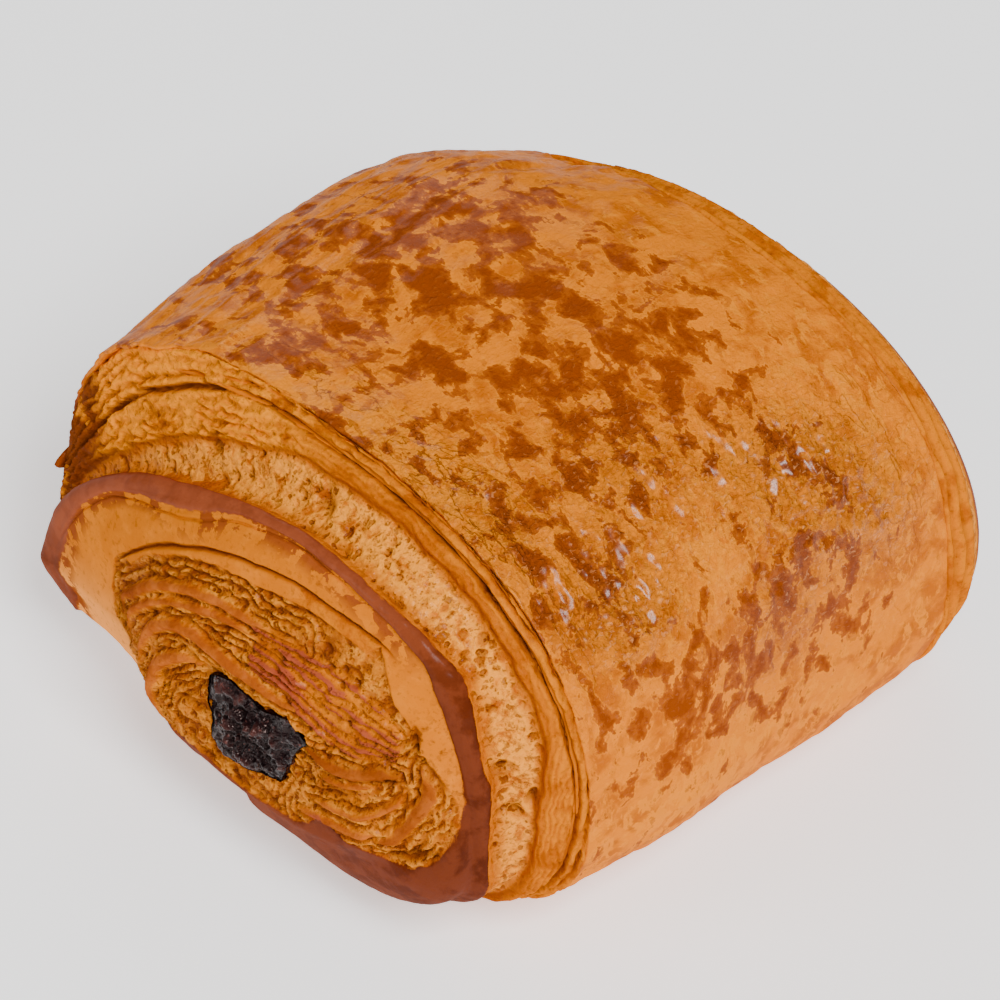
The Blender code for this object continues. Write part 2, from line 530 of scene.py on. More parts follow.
def make_mesh(name: str, points: Array, faces: Array, values: dict[str, Array],
              flat: int = 0) -> bpy.types.Object:
    """Mesh object from points in millimetres and faces of one size.

    Args:
        name: name of the object.
        points: places of the corners.
        faces: corner numbers, one row for each face.
        values: named numbers, one for each corner.
        flat: number of faces at the end of the list that are shaded flat.

    Returns:
        The object, linked to the scene.
    """
    points = points.reshape(-1, 3) * MM
    count, sides = faces.shape
    mesh = bpy.data.meshes.new(name)
    mesh.vertices.add(len(points))
    mesh.vertices.foreach_set("co", points.astype(np.float32).ravel())
    mesh.loops.add(count * sides)
    mesh.loops.foreach_set("vertex_index", faces.astype(np.int32).ravel())
    mesh.polygons.add(count)
    mesh.polygons.foreach_set("loop_start", np.arange(0, count * sides, sides, dtype=np.int32))
    mesh.update(calc_edges=True)
    mesh.validate()
    mesh.polygons.foreach_set("use_smooth", np.arange(count) < count - flat)
    for key, numbers in values.items():
        layer = mesh.attributes.new(key, "FLOAT", "POINT")
        layer.data.foreach_set("value", numbers.astype(np.float32).ravel())
    piece = bpy.data.objects.new(name, mesh)
    bpy.context.scene.collection.objects.link(piece)
    return piece


def front_outlines() -> list[Outline]:
    """Outlines of the front end, from the stick's hole out to the wrap's cut edge."""
    height = HEIGHT
    face = -32.0
    rim = FRONT_RIM
    return [
        Outline(face + 0.4, 4.0, -2.8, 10.8, 21.7, 17.0, 12.2, 2.4, 2.4, 2.4, 2.4),
        Outline(face, 3.0, -8.0, 15.6, 23.2, 15.5, 10.5, 2.0, 2.0, 2.0, 2.05),
        Outline(face + 0.6, 2.0, -10.6, 17.5, 25.5, 15.5, 9.3, 2.0, 2.0, 1.9, 2.1),
        Outline(face + 1.4, 1.0, -12.6, 19.4, 29.0, 15.5, 8.1, 2.0, 2.0, 1.6, 2.25),
        Outline(face + 3.2, 2.0, -15.7, 23.0, 33.3, 15.0, 4.7, 2.0, 2.1, 1.4, 2.5),
        Outline(rim - 7.2, 4.0, -25.2, 23.5, 35.6, 13.0, 3.55, 1.7, 2.5, 1.31, 2.15),
        Outline(rim - 6.4, 5.0, -28.4, 24.6, 36.6, 12.2, 3.4, 1.65, 2.7, 1.6, 2.1),
        Outline(rim - 4.2, 5.0, -28.5, 25.9, 37.7, 13.0, 2.0, 1.6, 2.6, 1.75, 2.1),
        Outline(rim - 1.4, 0.0, -29.6, 28.5, height - 2.7, 18.0, -0.3, 2.1, 2.4, 1.95, 2.4),
        Outline(rim, 0.0, -29.6, 29.6, height - 1.0, 18.0, -0.7, 2.45, 2.45, 2.4, 2.42),
    ]


def barrel_outlines() -> list[Outline]:
    """Outlines of the glazed barrel between the two cut edges of the wrap."""
    height = HEIGHT
    left = -31.6
    right = 31.2
    return [
        Outline(-10.0, 0.0, left, right, height - 0.7, 18.0, -1.1, 2.47, 2.5, 2.4, 2.5),
        Outline(0.0, 0.0, left + 0.5, right - 0.4, height + 0.2, 18.0, -1.2, 2.5, 2.5, 2.4, 2.85),
        Outline(11.0, 0.0, left + 0.7, right, height + 0.1, 18.0, -1.1, 2.35, 2.6, 2.4, 2.95),
    ]


def back_outlines() -> list[Outline]:
    """Outlines of the back end, from the wrap's cut edge in to the stick's hole."""
    height = HEIGHT
    face = 31.8
    rim = BACK_RIM
    return [
        Outline(rim, 4.0, -29.2, 31.7, height - 2.1, 18.0, -1.0, 1.85, 2.6, 2.4, 2.6),
        Outline(rim + 2.5, 4.0, -27.4, 31.7, height - 3.5, 18.0, -0.6, 1.7, 2.4, 2.3, 2.2),
        Outline(rim + 5.6, 4.0, -25.6, 30.4, height - 6.0, 16.0, 0.2, 2.0, 2.2, 2.2, 2.3),
        Outline(rim + 8.6, 4.0, -24.0, 27.1, height - 11.2, 14.0, 0.8, 2.0, 2.0, 2.2, 2.5),
        Outline(face - 1.2, 4.0, -21.0, 24.4, 27.0, 14.0, 2.2, 2.0, 2.0, 2.1, 2.3),
        Outline(face - 0.6, 3.5, -17.0, 21.0, 26.0, 14.0, 3.2, 2.0, 2.0, 2.0, 2.1),
        Outline(face - 0.2, 3.0, -14.0, 17.5, 25.0, 14.0, 4.0, 2.0, 2.0, 2.0, 2.0),
        Outline(face - 0.2, 3.5, -10.0, 14.0, 23.5, 15.0, 6.5, 2.1, 2.1, 2.1, 2.1),
        Outline(face - 0.2, 4.0, -6.0, 12.0, 22.5, 16.0, 9.5, 2.2, 2.2, 2.2, 2.2),
        Outline(face - 0.3, 4.0, -2.8, 10.8, 21.7, 17.0, 12.2, 2.4, 2.4, 2.4, 2.4),
    ]


class Wire:
    """A node socket that arithmetic turns into Math nodes."""

    def __init__(self, palette: "Palette", socket: bpy.types.NodeSocket) -> None:
        """Wrap a socket of a palette's node tree.

        Args:
            palette: the material under construction.
            socket: output of one of its nodes.
        """
        self.palette = palette
        self.socket = socket

    def math(self, operation: str, *values: "Value") -> "Wire":
        """Result of a Math node whose first value is this wire.

        Args:
            operation: the node's operation.
            values: its further values.

        Returns:
            The result.
        """
        return self.palette.node("ShaderNodeMath", {"operation": operation},
                                 dict(enumerate((self, *values))), "Value")

    def __add__(self, other: "Value") -> "Wire":
        """Sum."""
        return self.math("ADD", other)

    __radd__ = __add__

    def __mul__(self, other: "Value") -> "Wire":
        """Product."""
        return self.math("MULTIPLY", other)

    __rmul__ = __mul__

    def __sub__(self, other: "Value") -> "Wire":
        """Difference."""
        return self.math("SUBTRACT", other)

    def __rsub__(self, other: float) -> "Wire":
        """Difference with this wire taken away from a number."""
        return (self * -1.0) + other


Value = Union[Wire, float, Sequence[float]]


class Palette:
    """A material under construction, with the few kinds of node that the finishes use."""

    def __init__(self, name: str) -> None:
        """Start a node material with a bare Principled shader.

        Args:
            name: name of the material.
        """
        self.material = bpy.data.materials.new(name)
        self.material.use_nodes = True
        self.tree = self.material.node_tree
        self.shader = self.tree.nodes["Principled BSDF"]

    def node(self, kind: str, settings: dict, inputs: dict, output: Union[str, int] = 0) -> Wire:
        """Add a node, with its settings first, and take one of its outputs.

        Args:
            kind: the node's type.
            settings: properties of the node.
            inputs: values or wires by socket name or number.
            output: name or number of the output to take.

        Returns:
            The wire of that output.
        """
        made = self.tree.nodes.new(kind)
        for key, value in settings.items():
            setattr(made, key, value)
        for key, value in inputs.items():
            self.feed(made.inputs[key], value)
        return Wire(self, made.outputs[output])

    def feed(self, socket: bpy.types.NodeSocket, value: Value) -> None:
        """Link a wire to a socket, or set a plain value on it.

        Args:
            socket: the input to feed.
            value: wire, number, colour or vector.
        """
        if isinstance(value, Wire):
            self.tree.links.new(value.socket, socket)
        elif isinstance(value, (int, float)):
            socket.default_value = value
        elif len(value) < len(socket.default_value):
            socket.default_value = (*value, 1.0)
        else:
            socket.default_value = tuple(value)

    def place(self, stretch: Sequence[float] = (1.0, 1.0, 1.0)) -> Wire:
        """Place on the object in millimetres.

        Args:
            stretch: how far patterns are stretched along each axis.

        Returns:
            The place.
        """
        where = self.node("ShaderNodeTexCoord", {}, {}, "Object")
        scale = [1 / (MM * part) for part in stretch]
        return self.node("ShaderNodeVectorMath", {"operation": "MULTIPLY"}, {0: where, 1: scale}, "Vector")

    def attribute(self, name: str) -> Wire:
        """Named number of the mesh.

        Args:
            name: name of the mesh's attribute.

        Returns:
            The number.
        """
        return self.node("ShaderNodeAttribute", {"attribute_name": name}, {}, "Fac")

    def noise(self, place: Wire, size: float, detail: float = 3.0, rough: float = 0.5,
              twist: float = 0.0) -> Wire:
        """Noise from 0 to 1.

        Args:
            place: place in millimetres.
            size: size of the largest features in millimetres.
            detail: number of finer layers.
            rough: strength of each layer against the one before.
            twist: how far the noise is bent by itself.

        Returns:
            The noise.
        """
        inputs = {"Vector": place, "Scale": 1 / size, "Detail": detail, "Roughness": rough,
                  "Distortion": twist}
        return self.node("ShaderNodeTexNoise", {}, inputs, 0)

    def bent(self, place: Wire, size: float, reach: float) -> Wire:
        """Place pushed about by noise.

        Args:
            place: place in millimetres.
            size: size of the noise in millimetres.
            reach: width in millimetres over which a place can move.

        Returns:
            The moved place.
        """
        inputs = {"Vector": place, "Scale": 1 / size, "Detail": 3.0}
        push = self.node("ShaderNodeTexNoise", {}, inputs, "Color")
        return self.node("ShaderNodeVectorMath", {"operation": "MULTIPLY_ADD"},
                         {0: push, 1: (reach, reach, reach), 2: place}, "Vector")

    def cells(self, place: Wire, size: float, output: str = "Distance") -> Wire:
        """Nearest of the seeds scattered about.

        Args:
            place: place in millimetres.
            size: spacing of the seeds in millimetres.
            output: "Distance" to the seed or its "Position".

        Returns:
            The chosen output.
        """
        inputs = {"Vector": place, "Scale": 1 / size}
        return self.node("ShaderNodeTexVoronoi", {}, inputs, output)

    def step(self, value: Wire, low: float, high: float) -> Wire:
        """Smooth rise from 0 to 1, or fall when low is the larger.

        Args:
            value: value to map.
            low: value that gives 0.
            high: value that gives 1.

        Returns:
            The share from 0 to 1.
        """
        inputs = {"Value": value, "From Min": low, "From Max": high}
        return self.node("ShaderNodeMapRange", {"interpolation_type": "SMOOTHSTEP"}, inputs, 0)

    def mix(self, share: Value, first: Value, second: Value) -> Wire:
        """Blend of two colours.

        Args:
            share: share of the second colour, from 0 to 1.
            first: colour underneath.
            second: colour over it.

        Returns:
            The blended colour.
        """
        return self.node("ShaderNodeMix", {"data_type": "RGBA"}, {0: share, 6: first, 7: second}, 2)

    def bump(self, height: Wire, distance: float, strength: float = 1.0) -> Wire:
        """Normal bent by a height.

        Args:
            height: height to read.
            distance: millimetres that a height of 1 stands for.
            strength: share of the bend that is kept.

        Returns:
            The bent normal.
        """
        inputs = {"Height": height, "Distance": distance * MM, "Strength": strength}
        return self.node("ShaderNodeBump", {}, inputs, "Normal")

    def finish(self, **inputs: Value) -> bpy.types.Material:
        """Feed the shader's sockets.

        Args:
            inputs: values by socket name, with underscores for spaces.

        Returns:
            The finished material.
        """
        for key, value in inputs.items():
            self.feed(self.shader.inputs[key.replace("_", " ")], value)
        return self.material


@dataclass(frozen=True)
class GlazedCrust:
    """Egg-glazed skin: golden, with sharp-edged brown islands and pale rims. Paler crests in the blister
    zones are painted highlights for small glints, and the paler tan on the right and lower side is partly
    painted light.
    """

    gold: Colour = (0.78, 0.205, 0.0)
    amber: Colour = (0.52, 0.114, 0.0)
    tan: Colour = (0.84, 0.248, 0.004)
    russet: Colour = (0.42, 0.084, 0.001)
    brown: Colour = (0.39, 0.080, 0.004)
    umber: Colour = (0.26, 0.044, 0.001)
    crest: Colour = (0.92, 0.36, 0.12)
    island: float = 2.6

    def make(self) -> bpy.types.Material:
        """Build the material."""
        paint = Palette("glazed_crust")
        place = paint.place((1.2, 0.9, 1.2))
        islands = paint.attribute("islands")
        blister = paint.attribute("blister")
        nibble = paint.cells(paint.bent(paint.place(), 0.5, 0.5), 0.42, "Position")
        nibbled = paint.node("ShaderNodeTexNoise", {}, {"Vector": nibble, "Scale": 0.5, "Detail": 1.0}, 0)
        level = paint.noise(place, self.island, 4.0, 0.60, 0.25) + (islands - 1.0) * 0.16
        level = level + (nibbled - 0.5) * 0.14
        cloud = paint.noise(paint.place(), 3.6, 5.0, 0.60, 0.3)
        base = paint.mix(paint.step(cloud, 0.38, 0.56), self.amber, self.gold)
        mottle = paint.noise(paint.place((1.2, 0.8, 1.2)), 1.6, 5.0, 0.62, 0.4) + (nibbled - 0.5) * 0.10
        # Paler tan: partly the crust's own paler bake, partly painted light where the light falls on the
        # right and lower right, and paler towards the base.
        pale = paint.attribute("pale") * 0.26 - 0.022
        base = paint.mix(paint.step(mottle + pale, 0.55, 0.63) * 0.85, base, self.tan)
        rim = paint.step(level, 0.475, 0.505) * paint.step(level, 0.535, 0.515)
        base = paint.mix(rim * 0.45, base, self.tan)
        base = paint.mix(paint.step(mottle + level, 1.02, 1.10) * 0.6, base, self.russet)
        island = paint.step(level, 0.527, 0.545)
        deep = paint.step(level, 0.55, 0.64)
        colour = paint.mix(island, base, paint.mix(deep, self.brown, self.umber))
        fine = paint.noise(paint.place((0.8, 1.4, 0.8)), 0.8, 4.0, 0.6)
        crinkle = paint.noise(paint.place((0.9, 1.3, 0.9)), 0.42, 4.0, 0.60, 0.6)
        # Painted highlight: paler crests on the crinkles of the blister zones stand in for small glints.
        colour = paint.mix(paint.step(crinkle, 0.56, 0.66) * blister * 0.55, colour, self.crest)
        wander = paint.noise(paint.place((1.3, 0.6, 1.3)), 4.0, 4.0, 0.55, 0.4) - 0.5
        crack = paint.step(wander.math("ABSOLUTE"), 0.016, 0.006) * paint.attribute("cracks")
        colour = paint.mix(crack * 0.7, colour, self.umber)
        height = (fine - 0.5) * 0.30 + (crinkle - 0.5) * (blister * 2.2 + 0.25) - crack * 0.4
        normal = paint.bump(height, 0.40, 1.0)
        return paint.finish(Base_Color=colour, Roughness=0.5 + cloud * 0.12, Normal=normal,
                            Specular_IOR_Level=0.0, Coat_Weight=paint.attribute("gloss"),
                            Coat_Roughness=0.2)


@dataclass(frozen=True)
class CutDough:
    """Open end of the roll: pale crumb, browned folds, glazed turns and thin sheets, with shade painted
    into its cracks, pores, grooves and gaps.
    """

    cream: Colour = (0.96, 0.330, 0.020)
    lobe: Colour = (1.0, 0.365, 0.070)
    golden: Colour = (0.62, 0.158, 0.001)
    toast: Colour = (0.46, 0.094, 0.001)
    ring: Colour = (0.30, 0.067, 0.024)
    ring_dark: Colour = (0.085, 0.013, 0.003)
    fold: Colour = (0.35, 0.072, 0.008)
    fold_pale: Colour = (0.50, 0.122, 0.018)
    rose: Colour = (0.37, 0.066, 0.030)
    tan: Colour = (0.72, 0.200, 0.006)
    patch: Colour = (0.30, 0.062, 0.010)
    orange: Colour = (0.46, 0.098, 0.0)
    yellow: Colour = (0.70, 0.190, 0.0)
    bright: Colour = (0.95, 0.290, 0.0)
    shade: Colour = (0.17, 0.028, 0.001)

    def make(self) -> bpy.types.Material:
        """Build the material."""
        paint = Palette("cut_dough")
        place = paint.place()
        cloud = paint.noise(place, 2.4, 4.0, 0.6, 0.3)
        fine = paint.noise(place, 0.55, 4.0, 0.6)
        ragged = paint.noise(place, 1.0, 5.0, 0.62, 0.3)
        fray = (ragged - 0.5) * 0.8

        def inside(name: str, soft: float = 0.07) -> Wire:
            """Share inside a frayed region of the mesh.

            Args:
                name: name of the region's attribute.
                soft: half width of the change at its edge.

            Returns:
                The share from 0 to 1.
            """
            return paint.step(paint.attribute(name) + fray, -soft, soft)

        colour = paint.mix(paint.step(cloud, 0.36, 0.64), self.toast, self.golden)
        sponge = paint.attribute("spongy")
        bent = paint.bent(paint.place((1.0, 1.3, 1.0)), 0.8, 1.5)
        cell = paint.cells(bent, 0.85)
        small = paint.cells(bent, 0.38)
        sparse = paint.step(paint.noise(place, 1.7, 3.0, 0.6), 0.44, 0.58)
        holes = paint.step(cell, 0.40, 0.22) * sparse
        pore = holes.math("MAXIMUM", paint.step(small, 0.40, 0.25) * (1.0 - sparse) * 0.7) * sponge
        # Painted highlight: pale rims round the larger pores are mixed into the cream.
        rim = paint.step(cell, 0.34, 0.44) * paint.step(cell, 0.66, 0.50) * sponge
        crumb = paint.attribute("crumb") * paint.step(ragged * 0.6 + cloud * 0.4, 0.38, 0.54)
        colour = paint.mix((crumb + rim * sparse * 0.35).math("MINIMUM", 1.0), colour, self.cream)
        sheets = paint.step(cloud, 0.34, 0.56) * (1.0 - paint.attribute("rose") * 0.8)
        sheets = paint.mix(sheets, self.orange, self.yellow)
        # Brighter yellow where the lobe attribute is set; on the upper-left torn sheets it is partly
        # painted light, lifting a side that the key light leaves in shade.
        sheets = paint.mix(paint.attribute("lobe") * paint.step(cloud, 0.30, 0.50), sheets, self.bright)
        colour = paint.mix(paint.attribute("sheet"), colour, sheets)
        spots = paint.step(paint.noise(paint.place((1.2, 1.0, 0.9)), 2.2, 5.0, 0.6, 0.3), 0.50, 0.515)
        glaze = inside("glaze")
        tan = paint.mix(paint.step(cloud, 0.4, 0.7), self.golden, self.tan)
        tan = paint.mix(paint.attribute("lobe"), tan, self.lobe)
        colour = paint.mix(glaze, colour, paint.mix(spots * paint.attribute("patches"), tan, self.patch))
        fold = inside("fold", 0.12)
        tone = paint.mix(paint.step(cloud, 0.40, 0.66), self.fold, self.fold_pale)
        colour = paint.mix(fold * 0.9, colour, paint.mix(paint.attribute("rose"), tone, self.rose))
        browned = inside("browned", 0.10)
        share = paint.attribute("rose") * 0.75 + paint.step(cloud, 0.42, 0.62) * 0.25
        colour = paint.mix(browned, colour, paint.mix(share, self.ring, self.ring_dark))
        # Painted shade: the shade colour is laid into cracks, pores, valleys, grooves and gaps between
        # layers from the deep attribute, and over fine speckles and the pores.
        deep = paint.attribute("deep") + paint.step(fine, 0.54, 0.70) * (1.0 - browned) * 0.35 + pore * 0.6
        colour = paint.mix(deep.math("MINIMUM", 0.9), colour, self.shade)
        smooth = glaze.math("MAXIMUM", browned).math("MAXIMUM", fold * 0.8)
        height = (fine - 0.5) * (1.0 - smooth * 0.7) - pore * 0.5 + ragged * 0.35
        normal = paint.bump(height, 0.35, 0.9)
        rough = 0.55 - smooth * 0.15
        coat = 0.02 + sponge * 0.06 + browned * 0.06
        return paint.finish(Base_Color=colour, Roughness=rough, Normal=normal, Specular_IOR_Level=0.0,
                            Coat_Weight=coat, Coat_Roughness=0.2)


@dataclass(frozen=True)
class SheetEdge:
    """Thin baked sheets of the wrap's cut edge: bright yellow to orange."""

    yellow: Colour = (0.68, 0.180, 0.0)
    orange: Colour = (0.46, 0.100, 0.0)
    pale: Colour = (0.76, 0.235, 0.004)

    def make(self) -> bpy.types.Material:
        """Build the material."""
        paint = Palette("sheet_edge")
        place = paint.place((1.8, 0.7, 1.8))
        cloud = paint.noise(place, 2.5, 4.0, 0.55)
        colour = paint.mix(paint.step(cloud, 0.36, 0.62), self.orange, self.yellow)
        spots = paint.step(paint.noise(place, 1.1, 3.0, 0.6), 0.58, 0.68)
        colour = paint.mix(spots * 0.5, colour, self.pale)
        normal = paint.bump(paint.noise(place, 0.5, 3.0, 0.6), 0.15, 0.7)
        return paint.finish(Base_Color=colour, Roughness=0.5, Normal=normal, Specular_IOR_Level=0.02)


@dataclass(frozen=True)
class DarkChocolate:
    """Broken end of a dark chocolate stick, with highlights painted as lighter brown on its crests and in
    small specks.
    """

    dark: Colour = (0.006, 0.0018, 0.0024)
    painted_highlight: Colour = (0.150, 0.046, 0.036)

    def make(self) -> bpy.types.Material:
        """Build the material."""
        paint = Palette("dark_chocolate")
        glint_speck = paint.noise(paint.place(), 0.45, 3.0, 0.6)
        crest = paint.step(paint.attribute("crest"), 0.0, 0.9) * 0.35
        # Painted highlight: lighter brown on the crests and in small specks stands in for glints on the
        # chocolate.
        colour = paint.mix(crest + paint.step(glint_speck, 0.60, 0.70) * 0.5, self.dark, self.painted_highlight)
        normal = paint.bump(paint.noise(paint.place(), 0.6, 2.0, 0.5), 0.35, 1.0)
        return paint.finish(Base_Color=colour, Roughness=0.22, Normal=normal, Specular_IOR_Level=0.20,
                            Specular_Tint=(1.0, 0.72, 0.64, 1.0))


@dataclass(frozen=True)
class PaleFloor:
    """Plain pale surface that the roll rests on."""

    white: Colour = (0.9, 0.9, 0.9)
    glow: float = 0.8

    def make(self) -> bpy.types.Material:
        """Build the material."""
        return Palette("pale_floor").finish(Base_Color=self.white, Roughness=0.7, Emission_Color=self.white,
                                            Emission_Strength=self.glow)


@dataclass(frozen=True)
class Panel:
    """Square soft light that faces the roll, with its place and side in metres and power in watts."""

    name: str
    place: tuple[float, float, float]
    size: float
    power: float

    def hang(self, aim: Vector) -> None:
        """Make the light.

        Args:
            aim: place that it faces, in metres.
        """
        lamp = bpy.data.lights.new(self.name, "AREA")
        lamp.size = self.size
        lamp.energy = self.power
        panel = bpy.data.objects.new(self.name, lamp)
        panel.location = self.place
        away = Vector(self.place) - aim
        panel.rotation_euler = away.to_track_quat("Z", "Y").to_euler()
        bpy.context.scene.collection.objects.link(panel)


@dataclass
class Studio:
    """Camera, floor and soft light, matched to the photograph."""

    azimuth: float = 45.0
    elevation: float = 44.0
    distance: float = 600.0
    look_height: float = 17.5
    pixels_per_mm: float = 12.0
    frame_pixels: float = 1000.0
    rise_pixels: float = 20.0
    sensor: float = 36.0
    floor_size: float = 4.0
    surround: float = 0.20
    light_aim: tuple[float, float, float] = (0.0, 0.0, 0.02)
    panels: tuple[Panel, ...] = (
        Panel("key_panel", (0.45, -0.20, 0.60), 0.28, 7.6),
        Panel("gloss_panel", (-0.55, 0.45, 0.42), 0.35, 1.6),
        Panel("front_panel", (-0.20, -0.65, 0.42), 0.30, 1.3),
    )

    def axes(self) -> tuple[Vector, Vector]:
        """The view's up and back directions."""
        turn = math.radians(self.azimuth)
        tilt = math.radians(self.elevation)
        up = Vector((-math.sin(turn) * math.sin(tilt), math.cos(turn) * math.sin(tilt), math.cos(tilt)))
        back = Vector((math.sin(turn) * math.cos(tilt), -math.cos(turn) * math.cos(tilt), math.sin(tilt)))
        return up, back

    def set_camera(self) -> None:
        """Make the camera and give it to the scene."""
        up, back = self.axes()
        aim = Vector((0.0, 0.0, self.look_height)) + up * (self.rise_pixels / self.pixels_per_mm)
        lens = bpy.data.cameras.new("camera")
        lens.sensor_width = self.sensor
        lens.sensor_height = self.sensor
        lens.lens = self.sensor * self.distance * self.pixels_per_mm / self.frame_pixels
        camera = bpy.data.objects.new("camera", lens)
        camera.location = (aim + back * self.distance) * MM
        camera.rotation_euler = back.to_track_quat("Z", "Y").to_euler()
        bpy.context.scene.collection.objects.link(camera)
        bpy.context.scene.camera = camera

    def light(self) -> None:
        """Hang the soft panels and set the even white surround."""
        for panel in self.panels:
            panel.hang(Vector(self.light_aim))
        world = bpy.data.worlds.new("surround")
        world.use_nodes = True
        background = world.node_tree.nodes["Background"]
        background.inputs["Color"].default_value = (1.0, 1.0, 1.0, 1.0)
        background.inputs["Strength"].default_value = self.surround
        bpy.context.scene.world = world

    def lay_floor(self) -> None:
        """Lay the plain pale floor under the roll."""
        half = 0.5 * self.floor_size / MM
        corners = np.array([[-half, -half, 0], [half, -half, 0], [half, half, 0], [-half, half, 0]], float)
        floor = make_mesh("floor", corners, np.array([[0, 1, 2, 3]]), {})
        floor.data.materials.append(PaleFloor().make())

    def build(self) -> None:
        """Set up camera, light and floor."""
        self.set_camera()
        self.light()
        self.lay_floor()


def dress(piece: bpy.types.Object, material: bpy.types.Material, node: str) -> None:
    """Give a piece its finish and its place in the frame.

    Args:
        piece: the mesh object.
        material: its finish.
        node: the solid that it stands for.
    """
    piece.data.materials.append(material)
    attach(piece, BODY)
    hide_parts(node)
    LOG.info("%s: %d faces", piece.name, len(piece.data.polygons))


@dataclass(frozen=True)
class Zone:
    """Soft oval region of the skin, by its place along the roll and round it."""

    y: float
    degrees: float
    reach_y: float
    reach_degrees: float
    gain: float

    def share(self, y: Array, angles: Array) -> Array:
        """Gain of the region, falling smoothly outwards.

        Args:
            y: place along the roll, in millimetres or stations.
            angles: angle of each column in radians.

        Returns:
            The gain at each place.
        """
        round_by = (np.degrees(angles)[None, :] - self.degrees) / self.reach_degrees
        along_by = (y - self.y) / self.reach_y
        return self.gain * np.exp(-0.5 * (round_by ** 2 + along_by ** 2))


def total_share(zones: Sequence[Zone], y: Array, angles: Array) -> Array:
    """Sum of the gains of several regions.

    Args:
        zones: the regions.
        y: place along the roll, in the zones' own units.
        angles: angle of each column in radians.

    Returns:
        The summed gain at each place.
    """
    return sum(zone.share(y, angles) for zone in zones)


